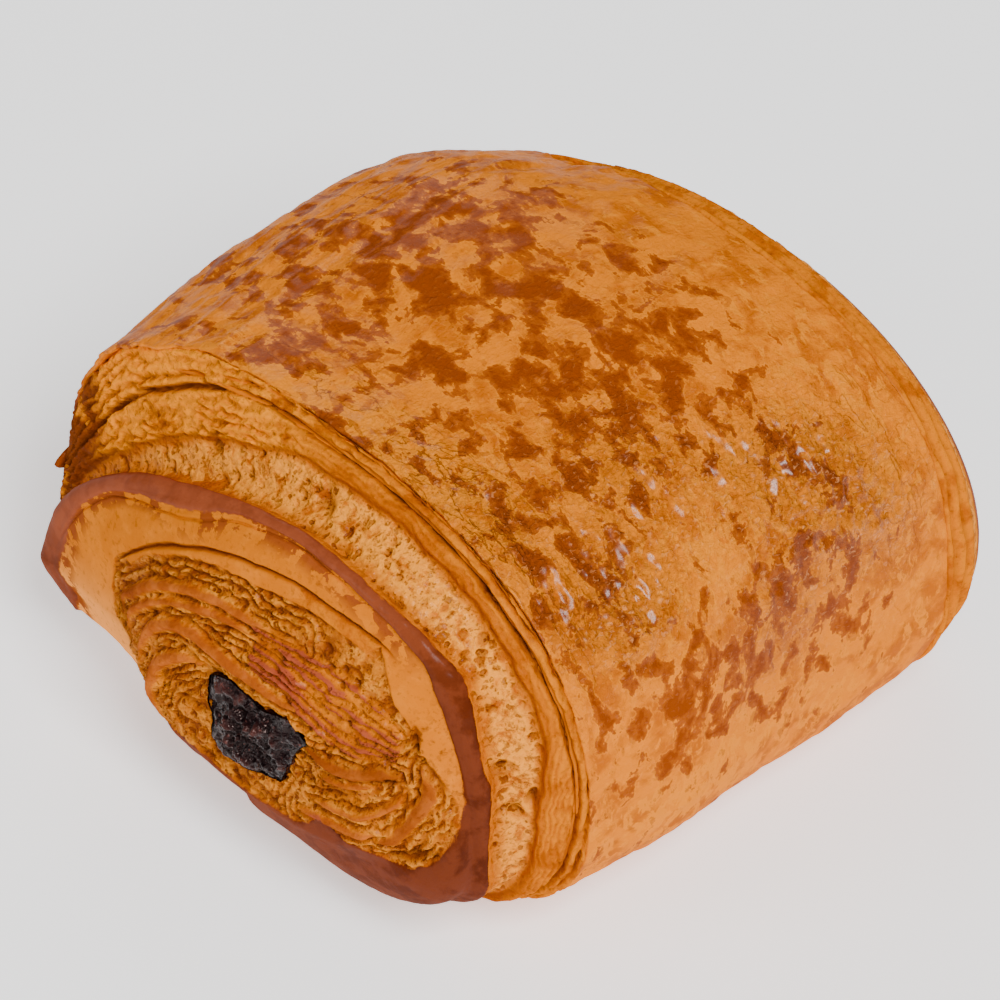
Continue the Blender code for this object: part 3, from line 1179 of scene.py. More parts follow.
@dataclass
class Wrap:
    """Outer turn of the roll: the glazed skin between its two cut edges."""

    columns: int = 520
    rows: int = 176
    thickness: float = 1.6
    edge: float = 0.35
    inner_rows: int = 12
    lump: float = 0.30
    wrinkle: float = 0.20
    gloss_wrinkle: float = 0.50
    blister: float = 0.34
    base_fade: float = 4.0
    overhang: float = 1.0
    flare: float = 0.55
    tip: float = 3.0
    tip_degrees: float = 178.5
    tip_width: float = 2.0
    glossy_side: tuple[float, float, float] = (132, 28, 18)
    flared_side: tuple[float, float, float] = (152, 28, 5)
    torn_side: tuple[float, float, float] = (149, 28, 5)
    seed: int = 41
    island_base: float = 0.87
    islands: tuple[Zone, ...] = (
        Zone(0, 80, 9, 22, 0.45), Zone(5, 62, 5, 9, 0.25), Zone(-11, 56, 4, 7, 0.35),
        Zone(-15, 43, 3, 6, 0.25), Zone(6, 14, 4, 8, 0.55), Zone(-5, 9, 4, 7, 0.50),
        Zone(-13, 9, 4, 6, 0.30), Zone(-12, 108, 7, 12, 0.35), Zone(8, 108, 8, 12, 0.30),
        Zone(-1, 37, 6, 7, -0.55),
        Zone(17, 60, 4, 90, -0.75), Zone(-5, -12, 12, 7, -1.0), Zone(-17, 122, 4, 12, -0.4),
        Zone(-14, 86, 3, 5, -0.2), Zone(22, 60, 4, 90, -0.9), Zone(-21, 177, 1.8, 7, 1.8),
    )
    blisters: tuple[Zone, ...] = (
        Zone(-12, 36, 4, 8, 1.0), Zone(10, 32, 5, 10, 1.0), Zone(14, 20, 3, 8, 0.5),
        Zone(-5, 58, 5, 9, 0.6), Zone(5, 44, 5, 7, 0.6), Zone(-17, 66, 3, 14, 0.6),
        Zone(2, 14, 4, 8, 0.5),
    )
    # Paler tan zones: those on the right and lower right are partly painted light where the light falls;
    # the rest are the crust's own paler bake.
    pales: tuple[Zone, ...] = (
        Zone(-18, 88, 2.5, 22, 0.75), Zone(-2, 34, 6, 8, 0.45), Zone(-8, -10, 12, 9, 0.6),
        Zone(14, 40, 5, 30, 0.30), Zone(-14, 70, 4, 8, 0.35),
    )
    cracks: tuple[Zone, ...] = (Zone(-17, 64, 2.2, 26, 1.2), Zone(16, 30, 2.5, 20, 0.7))

    def outer(self) -> tuple[Array, dict[str, Array]]:
        """Outer surface and the numbers that its finish reads."""
        loft = Loft([front_outlines()[-1], *barrel_outlines(), back_outlines()[0]])
        angles = spread_angles(self.columns)
        stations = np.linspace(0, loft.last, self.rows)
        grid = loft.points(stations, angles)
        normal = grid_normals(grid)
        relief = Relief(self.seed)
        y = grid[..., 1]
        gloss = angle_window(*self.glossy_side, angles)[None, :]
        blister = unit(0.12 + total_share(self.blisters, y, angles))
        lumps = relief.layered(grid * [1.0, 0.8, 1.0], 8.0, 3)
        folds = relief.layered(grid * [1.0, 0.30, 1.0] + 50, 3.2, 3)
        ripples = relief.layered(grid * [0.55, 1.2, 0.55] + 90, 1.5, 3)
        nearest = relief.cells(grid * [0.7, 1.1, 0.7], 1.25)
        height = self.lump * lumps + folds * (self.wrinkle + self.gloss_wrinkle * gloss)
        crests = 0.5 - 2.0 * np.abs(relief.layered(grid * [0.6, 1.15, 0.6] + 260, 2.3, 3, 0.6))
        height = height + self.blister * blister * (ripples + 0.8 * (0.45 - nearest) + 1.1 * crests)
        height = height + 0.05 * relief.layered(grid + 30, 1.1, 3)
        height = height + 0.15 * relief.layered(grid + 200, 2.8, 2)
        rim = 1 - smooth_step(0.0, 3.5, y - y.min())
        height = height + 0.22 * rim * relief.layered(grid + 120, 2.5, 3)
        height = height * smooth_step(0.0, self.base_fade, grid[..., 2])
        grid = grid + height[..., None] * normal
        near = 1 - smooth_step(FRONT_RIM, FRONT_RIM + 3.1, y)
        left = angle_window(*self.flared_side, angles)[None, :]
        flare = self.flare * near * (0.3 + 0.2 * left) * smooth_step(0, 6, grid[..., 2])
        grid = grid + flare[..., None] * normal
        grid[..., 1] -= self.rim_shift(grid, angles, relief)
        grid[..., 2] = np.maximum(grid[..., 2], 0.0)
        islands = self.island_base + total_share(self.islands, y, angles)
        base = 1 - smooth_step(0.0, 6.0, grid[..., 2])
        # Paler towards the base and in the pale zones; partly painted light on the lit right and lower
        # right side.
        pale = unit(total_share(self.pales, y, angles) + 0.4 * base)
        shine = 0.02 + 0.12 * gloss + 0.40 * blister * (1 - base)
        cracks = unit(total_share(self.cracks, y, angles))
        values = {"blister": blister, "islands": islands - 0.6 * base, "pale": pale, "gloss": shine,
                  "cracks": cracks}
        return grid, values

    def rim_shift(self, grid: Array, angles: Array, relief: Relief) -> Array:
        """How far the front edge is torn forwards, fading out away from it.

        Args:
            grid: points of the skin.
            angles: angle of each column in radians.
            relief: the skin's noise.

        Returns:
            The shift of each point in millimetres.
        """
        near = 1 - smooth_step(FRONT_RIM, FRONT_RIM + 4.1, grid[..., 1])
        line = grid[:1] * [1.0, 0.0, 1.0]
        torn = 0.30 * relief.layered(line, 3.0, 4, 0.65)
        left = angle_window(*self.torn_side, angles)[None, :]
        shift = torn + left * (self.overhang + 0.6 * relief.layered(line + 60, 1.6, 3, 0.7))
        degrees = np.degrees(angles)[None, :]
        shift = shift + self.tip * np.exp(-((degrees - self.tip_degrees) / self.tip_width) ** 2)
        return near ** 1.5 * shift

    def build(self) -> bpy.types.Object:
        """Close the skin into a hollow shell that thins towards its edges, and dress it."""
        grid, values = self.outer()
        normal = grid_normals(grid)
        even = np.linspace(0.06, 0.94, self.inner_rows - 4)
        shares = np.concatenate([[0.002, 0.02], even, [0.98, 0.998]])
        picks = np.round((1 - shares) * (self.rows - 1)).astype(int)
        end = np.minimum(picks, self.rows - 1 - picks) / (0.12 * self.rows)
        depth = (self.edge + (self.thickness - self.edge) * smooth_step(0.0, 1.0, end))[:, None, None]
        inner = grid[picks] - depth * normal[picks]
        inner[..., 2] = np.maximum(inner[..., 2], depth[..., 0])
        shell = np.concatenate([grid, inner])
        values = {key: np.concatenate([part, part[picks]]) for key, part in values.items()}
        piece = make_mesh("wrap_skin", shell, ring_faces(shell), values)
        dress(piece, GlazedCrust().make(), "pastry_roll")
        return piece


RIGHT_HOOK = ((20.3, 23.6), (21.2, 21.5), (20.5, 19.2), (18.8, 15.9), (17.3, 15.0))

RING_EDGE = Run(((-90, 6.2), (-30, 6.2), (4, 6.05), (17, 6.35), (24, 6.18), (33, 6.38), (45, 6.62),
                 (55, 6.33), (64, 6.15), (75, 5.95), (91, 6.08), (109, 6.09), (123, 6.12),
                 (131, 6.46), (139, 6.75), (152, 6.92), (170, 6.8), (200, 6.4), (270, 6.2)))

LUMP = ((-1.6, 21.2), (-0.6, 21.5), (0.9, 22.0), (4.9, 21.2), (8.1, 22.4), (9.8, 21.0), (8.6, 19.3),
        (6.7, 14.4), (4.6, 13.8), (2.0, 12.7), (-0.1, 12.6), (-1.3, 13.8), (-1.7, 17.9))


def ring_edge(angles: Array) -> Array:
    """Station of the browned turn's outer edge, slightly uneven.

    Args:
        angles: angles round the roll in radians.

    Returns:
        Station at each angle.
    """
    circle = 16 * np.stack([np.cos(angles), np.zeros_like(angles), np.sin(angles)], axis=-1)
    return RING_EDGE.stations(angles) + 0.10 * Relief(3).layered(circle, 2.2, 4, 0.6)


def lump_reach(directions: Array) -> Array:
    """Distance from the stick's middle to the outline of its broken end.

    Args:
        directions: directions across the end in radians.

    Returns:
        Distances in millimetres.
    """
    corners = np.array(LUMP) - STICK_MIDDLE
    reach = np.full(directions.shape, 99.0)
    ray = np.stack([np.cos(directions), np.sin(directions)], axis=-1)
    for start, end in zip(corners, np.roll(corners, -1, axis=0)):
        run = end - start
        cross = ray[..., 0] * run[1] - ray[..., 1] * run[0]
        cross = np.where(np.abs(cross) < 1e-9, 1e-9, cross)
        far = (start[0] * run[1] - start[1] * run[0]) / cross
        along = (start[0] * ray[..., 1] - start[1] * ray[..., 0]) / cross
        hit = (far > 0) & (along >= -1e-6) & (along <= 1 + 1e-6)
        reach = np.where(hit, np.minimum(reach, far), reach)
    return reach


@dataclass(frozen=True)
class Fan:
    """Thin laminated layers that run together across the end face, lying between two lines."""

    top: tuple[tuple[float, float], ...] = ((2.5, 28.8), (7.5, 29.3), (10.5, 29.2), (13.2, 28.6),
                                            (16.0, 27.6), (18.8, 26.2))
    low: tuple[tuple[float, float], ...] = ((2.5, 24.7), (6.5, 24.6), (9.0, 23.7), (11.5, 22.7),
                                            (15.0, 22.4), (18.8, 23.2))
    ends: tuple[float, float] = (2.8, 18.2)
    count: float = 6.5

    def layers(self, grid: Array, noise: Relief) -> tuple[Array, Array]:
        """Shares of the fan's layers.

        Args:
            grid: points of the end face.
            noise: noise that makes the layers uneven.

        Returns:
            How much each point belongs to the fan, and how much it lies on a layer.
        """
        across_x = grid[..., 0] + 0.5 * noise.layered(grid + 210, 1.6, 3)
        top = np.interp(across_x, *np.array(self.top).T)
        low = np.interp(across_x, *np.array(self.low).T)
        part = (grid[..., 2] - low) / (top - low)
        warp = noise.layered(grid * [0.22, 0.6, 1.0] + 200, 1.8, 4, 0.6)
        member = band(0.0, 1.0, 0.05, part) * band(*self.ends, 0.35, across_x)
        wave = 0.5 + 0.5 * np.cos(2 * np.pi * (part * self.count + 0.75 * warp))
        strength = smooth_step(-0.55, 0.35, noise.layered(grid * [0.35, 1.0, 1.0] + 230, 2.0, 3, 0.6))
        return member, wave ** 2 * (0.25 + 0.75 * strength)


@dataclass
class Turns:
    """Part of an end of the roll between two lines round it, closed behind into a ring."""

    name: str = "turns"
    columns: int = 560
    rows: int = 172
    seed: int = 11
    insets: tuple[float, float] = (1.9, -0.1)
    depths: tuple[float, float] = (9.0, 21.0)
    base_fade: float = 2.5
    end: End = End.FRONT

    def loft(self) -> Loft:
        """Outlines of this end, from the hole outwards."""
        return Loft(front_outlines())

    def span(self, angles: Array) -> tuple[Array, Array]:
        """Stations where the part starts and ends.

        Args:
            angles: angle of each column in radians.

        Returns:
            The first and the last station at each angle.
        """
        raise NotImplementedError

    def settle(self, grid: Array, stations: Array) -> Array:
        """Grid moved to meet its neighbours before the relief goes on.

        Args:
            grid: points of the plain loft.
            stations: station of each point.

        Returns:
            The moved grid.
        """
        return grid

    def relief(self, grid: Array, stations: Array, angles: Array) -> tuple[Array, dict[str, Array]]:
        """Height over the loft, and the named numbers that the finish reads.

        Args:
            grid: points of the plain loft.
            stations: station of each point.
            angles: angle of each column.

        Returns:
            The height in millimetres, and the named numbers.
        """
        raise NotImplementedError

    def build(self) -> bpy.types.Object:
        """Model the part, close it behind, and dress it."""
        loft = self.loft()
        out = self.end.value
        angles = spread_angles(self.columns)
        stations = even_stations(loft, angles, *self.span(angles), self.rows)
        grid = self.settle(loft.points(stations, angles), stations)
        normal = grid_normals(grid) * -out
        height, values = self.relief(grid, stations, angles)
        grid = grid + height[..., None] * normal
        grid[..., 2] = np.maximum(grid[..., 2], 0.0)
        outer = loft.points(stations[-1:], angles, self.insets[0])[0]
        inner = loft.points(stations[:1], angles, self.insets[1])[0]
        walls = np.array([outer, outer, inner, inner])
        walls[..., 1] -= out * np.array([0.5, *self.depths, 0.8])[:, None]
        ring = np.concatenate([grid, walls])
        blank = np.full((len(walls), self.columns), -1.0)
        values = {key: np.concatenate([part, blank]) for key, part in values.items()}
        faces = ring_faces(ring)
        if self.end is End.BACK:
            faces = faces[:, ::-1]
        piece = make_mesh(self.name, ring, faces, values, flat=5 * self.columns)
        dress(piece, CutDough().make(), "pastry_roll")
        return piece


@dataclass
class FrontSpiral(Turns):
    """Middle of the shown end: a browned bull-nosed turn, a glazed one and the fanned spiral."""

    name: str = "front_spiral"
    insets: tuple[float, float] = (0.7, -0.1)
    pale_side: tuple[float, float, float] = (205, 28, 16)
    ring_in: Run = Run(((-90, 0.95), (-60, 0.8), (-40, 0.6), (-29, 0.6), (-24, 1.3), (-20, 2.6),
                        (-16, 3.25), (-5, 3.55), (2, 3.85), (10, 4.5), (15, 4.89), (22, 5.08),
                        (35, 5.15), (44, 5.32), (52, 5.58), (60, 5.36), (69, 5.28), (77, 5.2),
                        (90, 5.32), (100, 5.13), (106, 5.0), (114, 4.65), (122, 4.61), (129, 4.80), (140, 5.42), (148, 5.3),
                        (160, 5.10), (168, 4.98), (178, 5.0), (186, 5.02), (194, 5.04), (200, 5.15),
                        (206, 5.6), (212, 6.9), (219, 5.6), (226, 2.4), (236, 1.1), (250, 1.0),
                        (270, 0.95)))
    glaze_in: Run = Run(((5, 4.4), (15, 4.6), (25, 4.2), (32, 4.0), (40, 4.05), (46, 4.0), (54, 4.3),
                         (61, 4.57), (68, 4.41), (74, 4.28), (83, 4.19), (92, 3.96), (106, 3.81),
                         (123, 3.75), (142, 3.94), (158, 4.26), (172, 4.19), (178, 4.12), (185, 3.9),
                         (200, 3.4), (215, 3.0)))
    crack: Run = Run(((58, 4.62), (68, 4.41), (74, 4.28), (83, 4.19), (92, 3.96), (106, 3.81),
                      (123, 3.75), (142, 3.94), (160, 4.24)))
    strip_in: Run = Run(((60, 4.2), (72, 3.98), (79, 3.85), (89, 3.62), (98, 3.57), (110, 3.58),
                         (129, 3.60), (155, 3.98)))
    thread: Run = Run(((76, 5.0), (90, 5.1), (105, 4.74), (114, 4.42), (122, 4.38), (129, 4.55),
                       (141, 5.15), (149, 5.1), (166, 5.1)))
    folds: tuple[Stroke, ...] = (
        Stroke(((-12.9, 16.0), (-15.0, 18.0), (-12.9, 20.8), (-9.6, 24.4), (-5.7, 26.9), (-2.8, 28.1),
                (0.1, 28.7), (3.0, 28.9), (6.9, 29.2)), 0.55, 0.50),
        Stroke(((-12.4, 16.6), (-12.6, 19.0), (-10.3, 22.0), (-7.0, 24.7), (-2.5, 26.8), (0.4, 27.6),
                (3.0, 27.7)), 0.45, 0.42),
        Stroke(((-10.6, 15.4), (-10.2, 17.8), (-8.9, 20.7), (-6.4, 22.8), (-3.9, 23.8), (-1.9, 23.8),
                (0.6, 23.8), (4.2, 23.8), (6.9, 23.7), (9.5, 23.9)), 0.60, 0.50),
        Stroke(((-7.6, 10.9), (-8.7, 12.0), (-9.1, 13.4), (-8.2, 16.5), (-7.2, 18.4), (-4.6, 20.8),
                (-2.3, 21.5)), 0.62, 0.50),
        Stroke(((9.7, 20.4), (12.4, 20.5), (14.9, 20.9), (17.1, 21.9), (18.6, 22.3)), 0.62, 0.45),
        Stroke(RIGHT_HOOK, 0.62, 0.45),
        Stroke(((11.5, 18.6), (13.8, 19.3), (17.3, 20.7)), 0.32, 0.30),
        Stroke(((8.6, 12.8), (12.1, 13.9), (15.4, 14.8), (17.3, 15.8)), 0.45, 0.40),
        Stroke(((9.9, 14.9), (13.1, 15.9), (16.4, 17.3), (18.6, 19.4), (19.2, 21.0)), 0.40, 0.35),
    )
    fan: Fan = Fan()
    swells: tuple[Zone, ...] = (
        Zone(5.4, 195, 0.5, 8, -0.15), Zone(5.9, 219, 0.5, 5, -1.0), Zone(2.1, 201, 0.5, 10, -0.1),
        Zone(3.7, 262, 0.8, 14, -1.3), Zone(2.6, 232, 0.6, 12, 0.5), Zone(3.8, -84, 0.8, 10, -0.4),
        Zone(6.0, 171, 0.8, 9, -0.6),
    )
    hollows: tuple[Stroke, ...] = (
        Stroke(((17.9, 13.3), (19.8, 14.1), (21.6, 15.5)), 0.55, 0.9),
        Stroke(((18.9, 27.1), (19.2, 26.0), (19.5, 24.9)), 0.35, 0.7),
        Stroke(((17.4, 21.3), (18.2, 21.5)), 0.45, 0.6),
    )
    pales: tuple[Stroke, ...] = (Stroke(((20.0, 27.5), (21.3, 25.2), (21.8, 23.0)), 1.1, 0.0),
                                 Stroke(((10.6, 16.6), (13.4, 16.4), (16.0, 16.6)), 0.35, 0.1))
    toasts: tuple[Stroke, ...] = (
        Stroke(((9.9, 20.4), (12.4, 20.5), (14.9, 20.9), (17.1, 21.9), (18.6, 22.3)), 0.8, 0.0),
        Stroke(RIGHT_HOOK, 0.45, 0.0),
        Stroke(((-12.9, 16.0), (-15.0, 18.0), (-12.9, 20.8), (-9.6, 24.4)), 0.40, 0.0),
    )
    yellows: tuple[Stroke, ...] = (Stroke(((11.6, 17.0), (14.2, 17.9), (16.0, 18.8)), 0.9, 0.5),
                                   Stroke(((-7.4, 14.0), (-6.6, 17.0), (-4.2, 19.4)), 0.8, 0.3))

    def span(self, angles: Array) -> tuple[Array, Array]:
        """From the stick's hole out to the browned turn's edge."""
        return np.zeros_like(angles), ring_edge(angles)

    def settle(self, grid: Array, stations: Array) -> Array:
        """Grid with its hole drawn onto the outline of the broken chocolate."""
        away = grid[0][:, [0, 2]] - STICK_MIDDLE
        reach = np.hypot(away[:, 0], away[:, 1])
        wanted = lump_reach(np.arctan2(away[:, 1], away[:, 0])) - 0.1
        pull = away * (wanted / reach - 1)[:, None]
        near = (1 - smooth_step(0.0, 0.95, stations))[..., None]
        moved = grid.copy()
        moved[..., [0, 2]] += near * pull
        return moved

    def gathered(self, strokes: Sequence[Stroke], grid: Array, wobble: Array) -> tuple[Array, Array]:
        """Relief of a set of folds.

        Args:
            strokes: the folds.
            grid: points of the end face.
            wobble: sideways unevenness of their lines.

        Returns:
            The height, and how far inside the nearest fold each point is.
        """
        height = np.zeros(grid.shape[:-1])
        inside = np.full(grid.shape[:-1], OUTSIDE)
        for stroke in strokes:
            away = stroke.away(grid, wobble)
            height = np.maximum(height, stroke.rise * ridge(0.0, stroke.half_width * 1.25, away))
            inside = np.maximum(inside, stroke.half_width - away)
        return height, inside

    def relief(self, grid: Array, stations: Array, angles: Array) -> tuple[Array, dict[str, Array]]:
        """Relief of this part, as Turns.relief asks for."""
        noise = Relief(self.seed)
        profile = Profile(grid, stations, angles)
        degrees = np.degrees(angles)[None, :]
        wobble = 0.26 * noise.layered(grid, 3.0, 4)
        face = 1 - smooth_step(4.6, 5.2, stations)

        past_in = profile.past(self.ring_in) + wobble
        past_out = profile.lengths - profile.lengths[-1:]
        ring = np.minimum(past_in, -past_out)
        width = np.maximum(past_in - past_out, 0.5)
        height = 0.5 * np.clip(4 * past_in * -past_out / width ** 2, 0.0, 1.0) ** 0.6
        height = height * smooth_step(2.6, 3.6, stations)

        past_glaze = profile.past(self.glaze_in) + wobble
        presence = self.glaze_in.presence(angles)[None, :]
        glaze = np.where(presence > 0.5, np.minimum(past_glaze, 0.1 - past_in), OUTSIDE)

        past_crack = profile.past(self.crack) + 0.6 * wobble
        crack = ridge(0.0, 0.24, past_crack) * self.crack.presence(angles)[None, :]
        past_strip = profile.past(self.strip_in) + wobble
        strip_on = self.strip_in.presence(angles)[None, :]
        strip = np.where(strip_on > 0.5, np.minimum(past_strip, -past_crack), OUTSIDE)
        yellow = smooth_step(-0.2, 0.2, strip) * (1 - smooth_step(66, 84, degrees))
        thread = profile.past(self.thread) + wobble
        thread_on = self.thread.presence(angles)[None, :]

        folded, fold = self.gathered(self.folds, grid, 0.14 + wobble * 0.9)
        hollowed, hollow = self.gathered(self.hollows, grid, wobble)
        pale = smooth_step(-0.5, 0.3, self.gathered(self.pales, grid, wobble)[1])
        toast = smooth_step(-0.3, 0.3, self.gathered(self.toasts, grid, wobble)[1]) * face
        sunken, golden = self.gathered(self.yellows, grid, wobble)
        golden = smooth_step(-0.5, 0.3, golden)
        member, layer = self.fan.layers(grid, noise)
        member = member * face
        folded = folded * face * (0.75 + 0.5 * noise.layered(grid + 140, 1.4, 3, 0.6))
        fold = np.where(face > 0.5, fold, OUTSIDE)
        streak = np.where(member > 0.5, 0.9 * (layer - 0.42), OUTSIDE)

        open_face = face * (1 - smooth_step(-0.3, 0.1, np.maximum(fold, strip)))
        open_face = open_face * (1 - smooth_step(-0.2, 0.1, glaze)) * (1 - smooth_step(-0.2, 0.1, ring))
        sheets = np.cos(2 * np.pi * (fold / 0.80 + 1.1 * noise.layered(grid + 260, 2.2, 4, 0.6)))
        flaky = open_face * (1 - member) * smooth_step(-0.6, 0.0, noise.layered(grid + 280, 2.6, 2))
        nearest = noise.cells(grid * [1.0, 0.7, 1.0], 1.35)
        pores = smooth_step(0.40, 0.15, nearest) * smooth_step(-0.2, 0.3, noise.layered(grid + 51, 3.0, 2))
        rough = noise.layered(grid + 70, 1.2, 4, 0.65)
        height = height - 0.4 * pores * open_face + 0.30 * rough * open_face + 0.26 * sheets * flaky

        height = height - 0.55 * crack + 0.12 * ridge(-0.5, 0.5, past_crack) * strip_on
        height = height - 0.30 * open_face + folded + member * (0.75 * layer - 0.12)
        height = height - (hollowed + sunken) * face
        height = height - 0.25 * ridge(0.0, 0.2, thread) * thread_on
        swollen = smooth_step(0.0, 2.5, past_glaze) * (1 - smooth_step(0, 1, past_in))
        height = height + 0.2 * swollen * presence
        height = height + 0.07 * noise.layered(grid + 11, 2.2, 3) + 0.04 * noise.layered(grid + 19, 0.9, 2)
        under = (1 - smooth_step(-40, -20, degrees)) + smooth_step(226, 240, degrees)
        crease = ridge(-1.7, 0.22, past_out + wobble) * under
        height = (height - 0.3 * crease) * smooth_step(0.0, self.base_fade, grid[..., 2])
        height = height + total_share(self.swells, stations, angles)

        # Painted shade for the finish: darkening in cracks, pores, valleys beside the folds, gaps between
        # the fan's layers, the crease near the base, hollows and along the thread, and darker along the
        # toast strokes.
        valley = smooth_step(0.15, -0.35, fold) * open_face * (1 - member)
        gully = member * smooth_step(0.30, 0.05, layer) * smooth_step(-0.1, 0.5, rough)
        deep = 0.9 * crack + 0.6 * pores * open_face + 0.30 * valley + 0.65 * gully + 0.4 * crease
        deep = deep + 0.45 * flaky * smooth_step(0.2, 1.0, -sheets)
        deep = deep + 0.3 * open_face * smooth_step(0.1, 0.6, -rough)
        deep = deep + smooth_step(-0.4, 0.3, hollow) * face * 0.5 + 0.40 * toast
        deep = deep + 0.35 * ridge(0.0, 0.2, thread) * thread_on * (pores + 0.4)
        patchy = smooth_step(3.2, 1.0, -past_in) * smooth_step(46, 62, degrees)
        dark = np.interp(degrees, (-90, -40, 0, 40, 60, 80, 100, 150, 168, 178, 190, 270),
                         (0.6, 0.8, 1.0, 0.9, 0.6, 0.3, 0.1, 0.0, 0.1, 0.6, 0.4, 0.6))
        crumb = open_face * (0.30 + 0.60 * smooth_step(0.0, 0.8, sheets) + 0.6 * pale) - 0.5 * member
        sheet = 0.9 * golden * face + 0.8 * member + 0.7 * yellow
        sheet = sheet + 0.5 * flaky * smooth_step(0.3, -0.6, sheets)
        right_glaze = (glaze > 0) * (1 - smooth_step(36, 46, degrees))
        values = {
            "browned": signed(ring),
            "fold": signed(np.maximum(fold, streak)),
            "rose": np.where(ring > -0.4, dark, member * smooth_step(-0.3, 0.0, streak)),
            "glaze": signed(np.maximum(glaze, strip - 3 * yellow)),
            "patches": unit(patchy),
            "crumb": unit(crumb),
            "lobe": np.broadcast_to(0.8 * angle_window(*self.pale_side, angles), height.shape),
            "sheet": unit(sheet),
            "deep": unit(deep),
            "spongy": unit(open_face + 0.6 * right_glaze),
        }
        return height, values


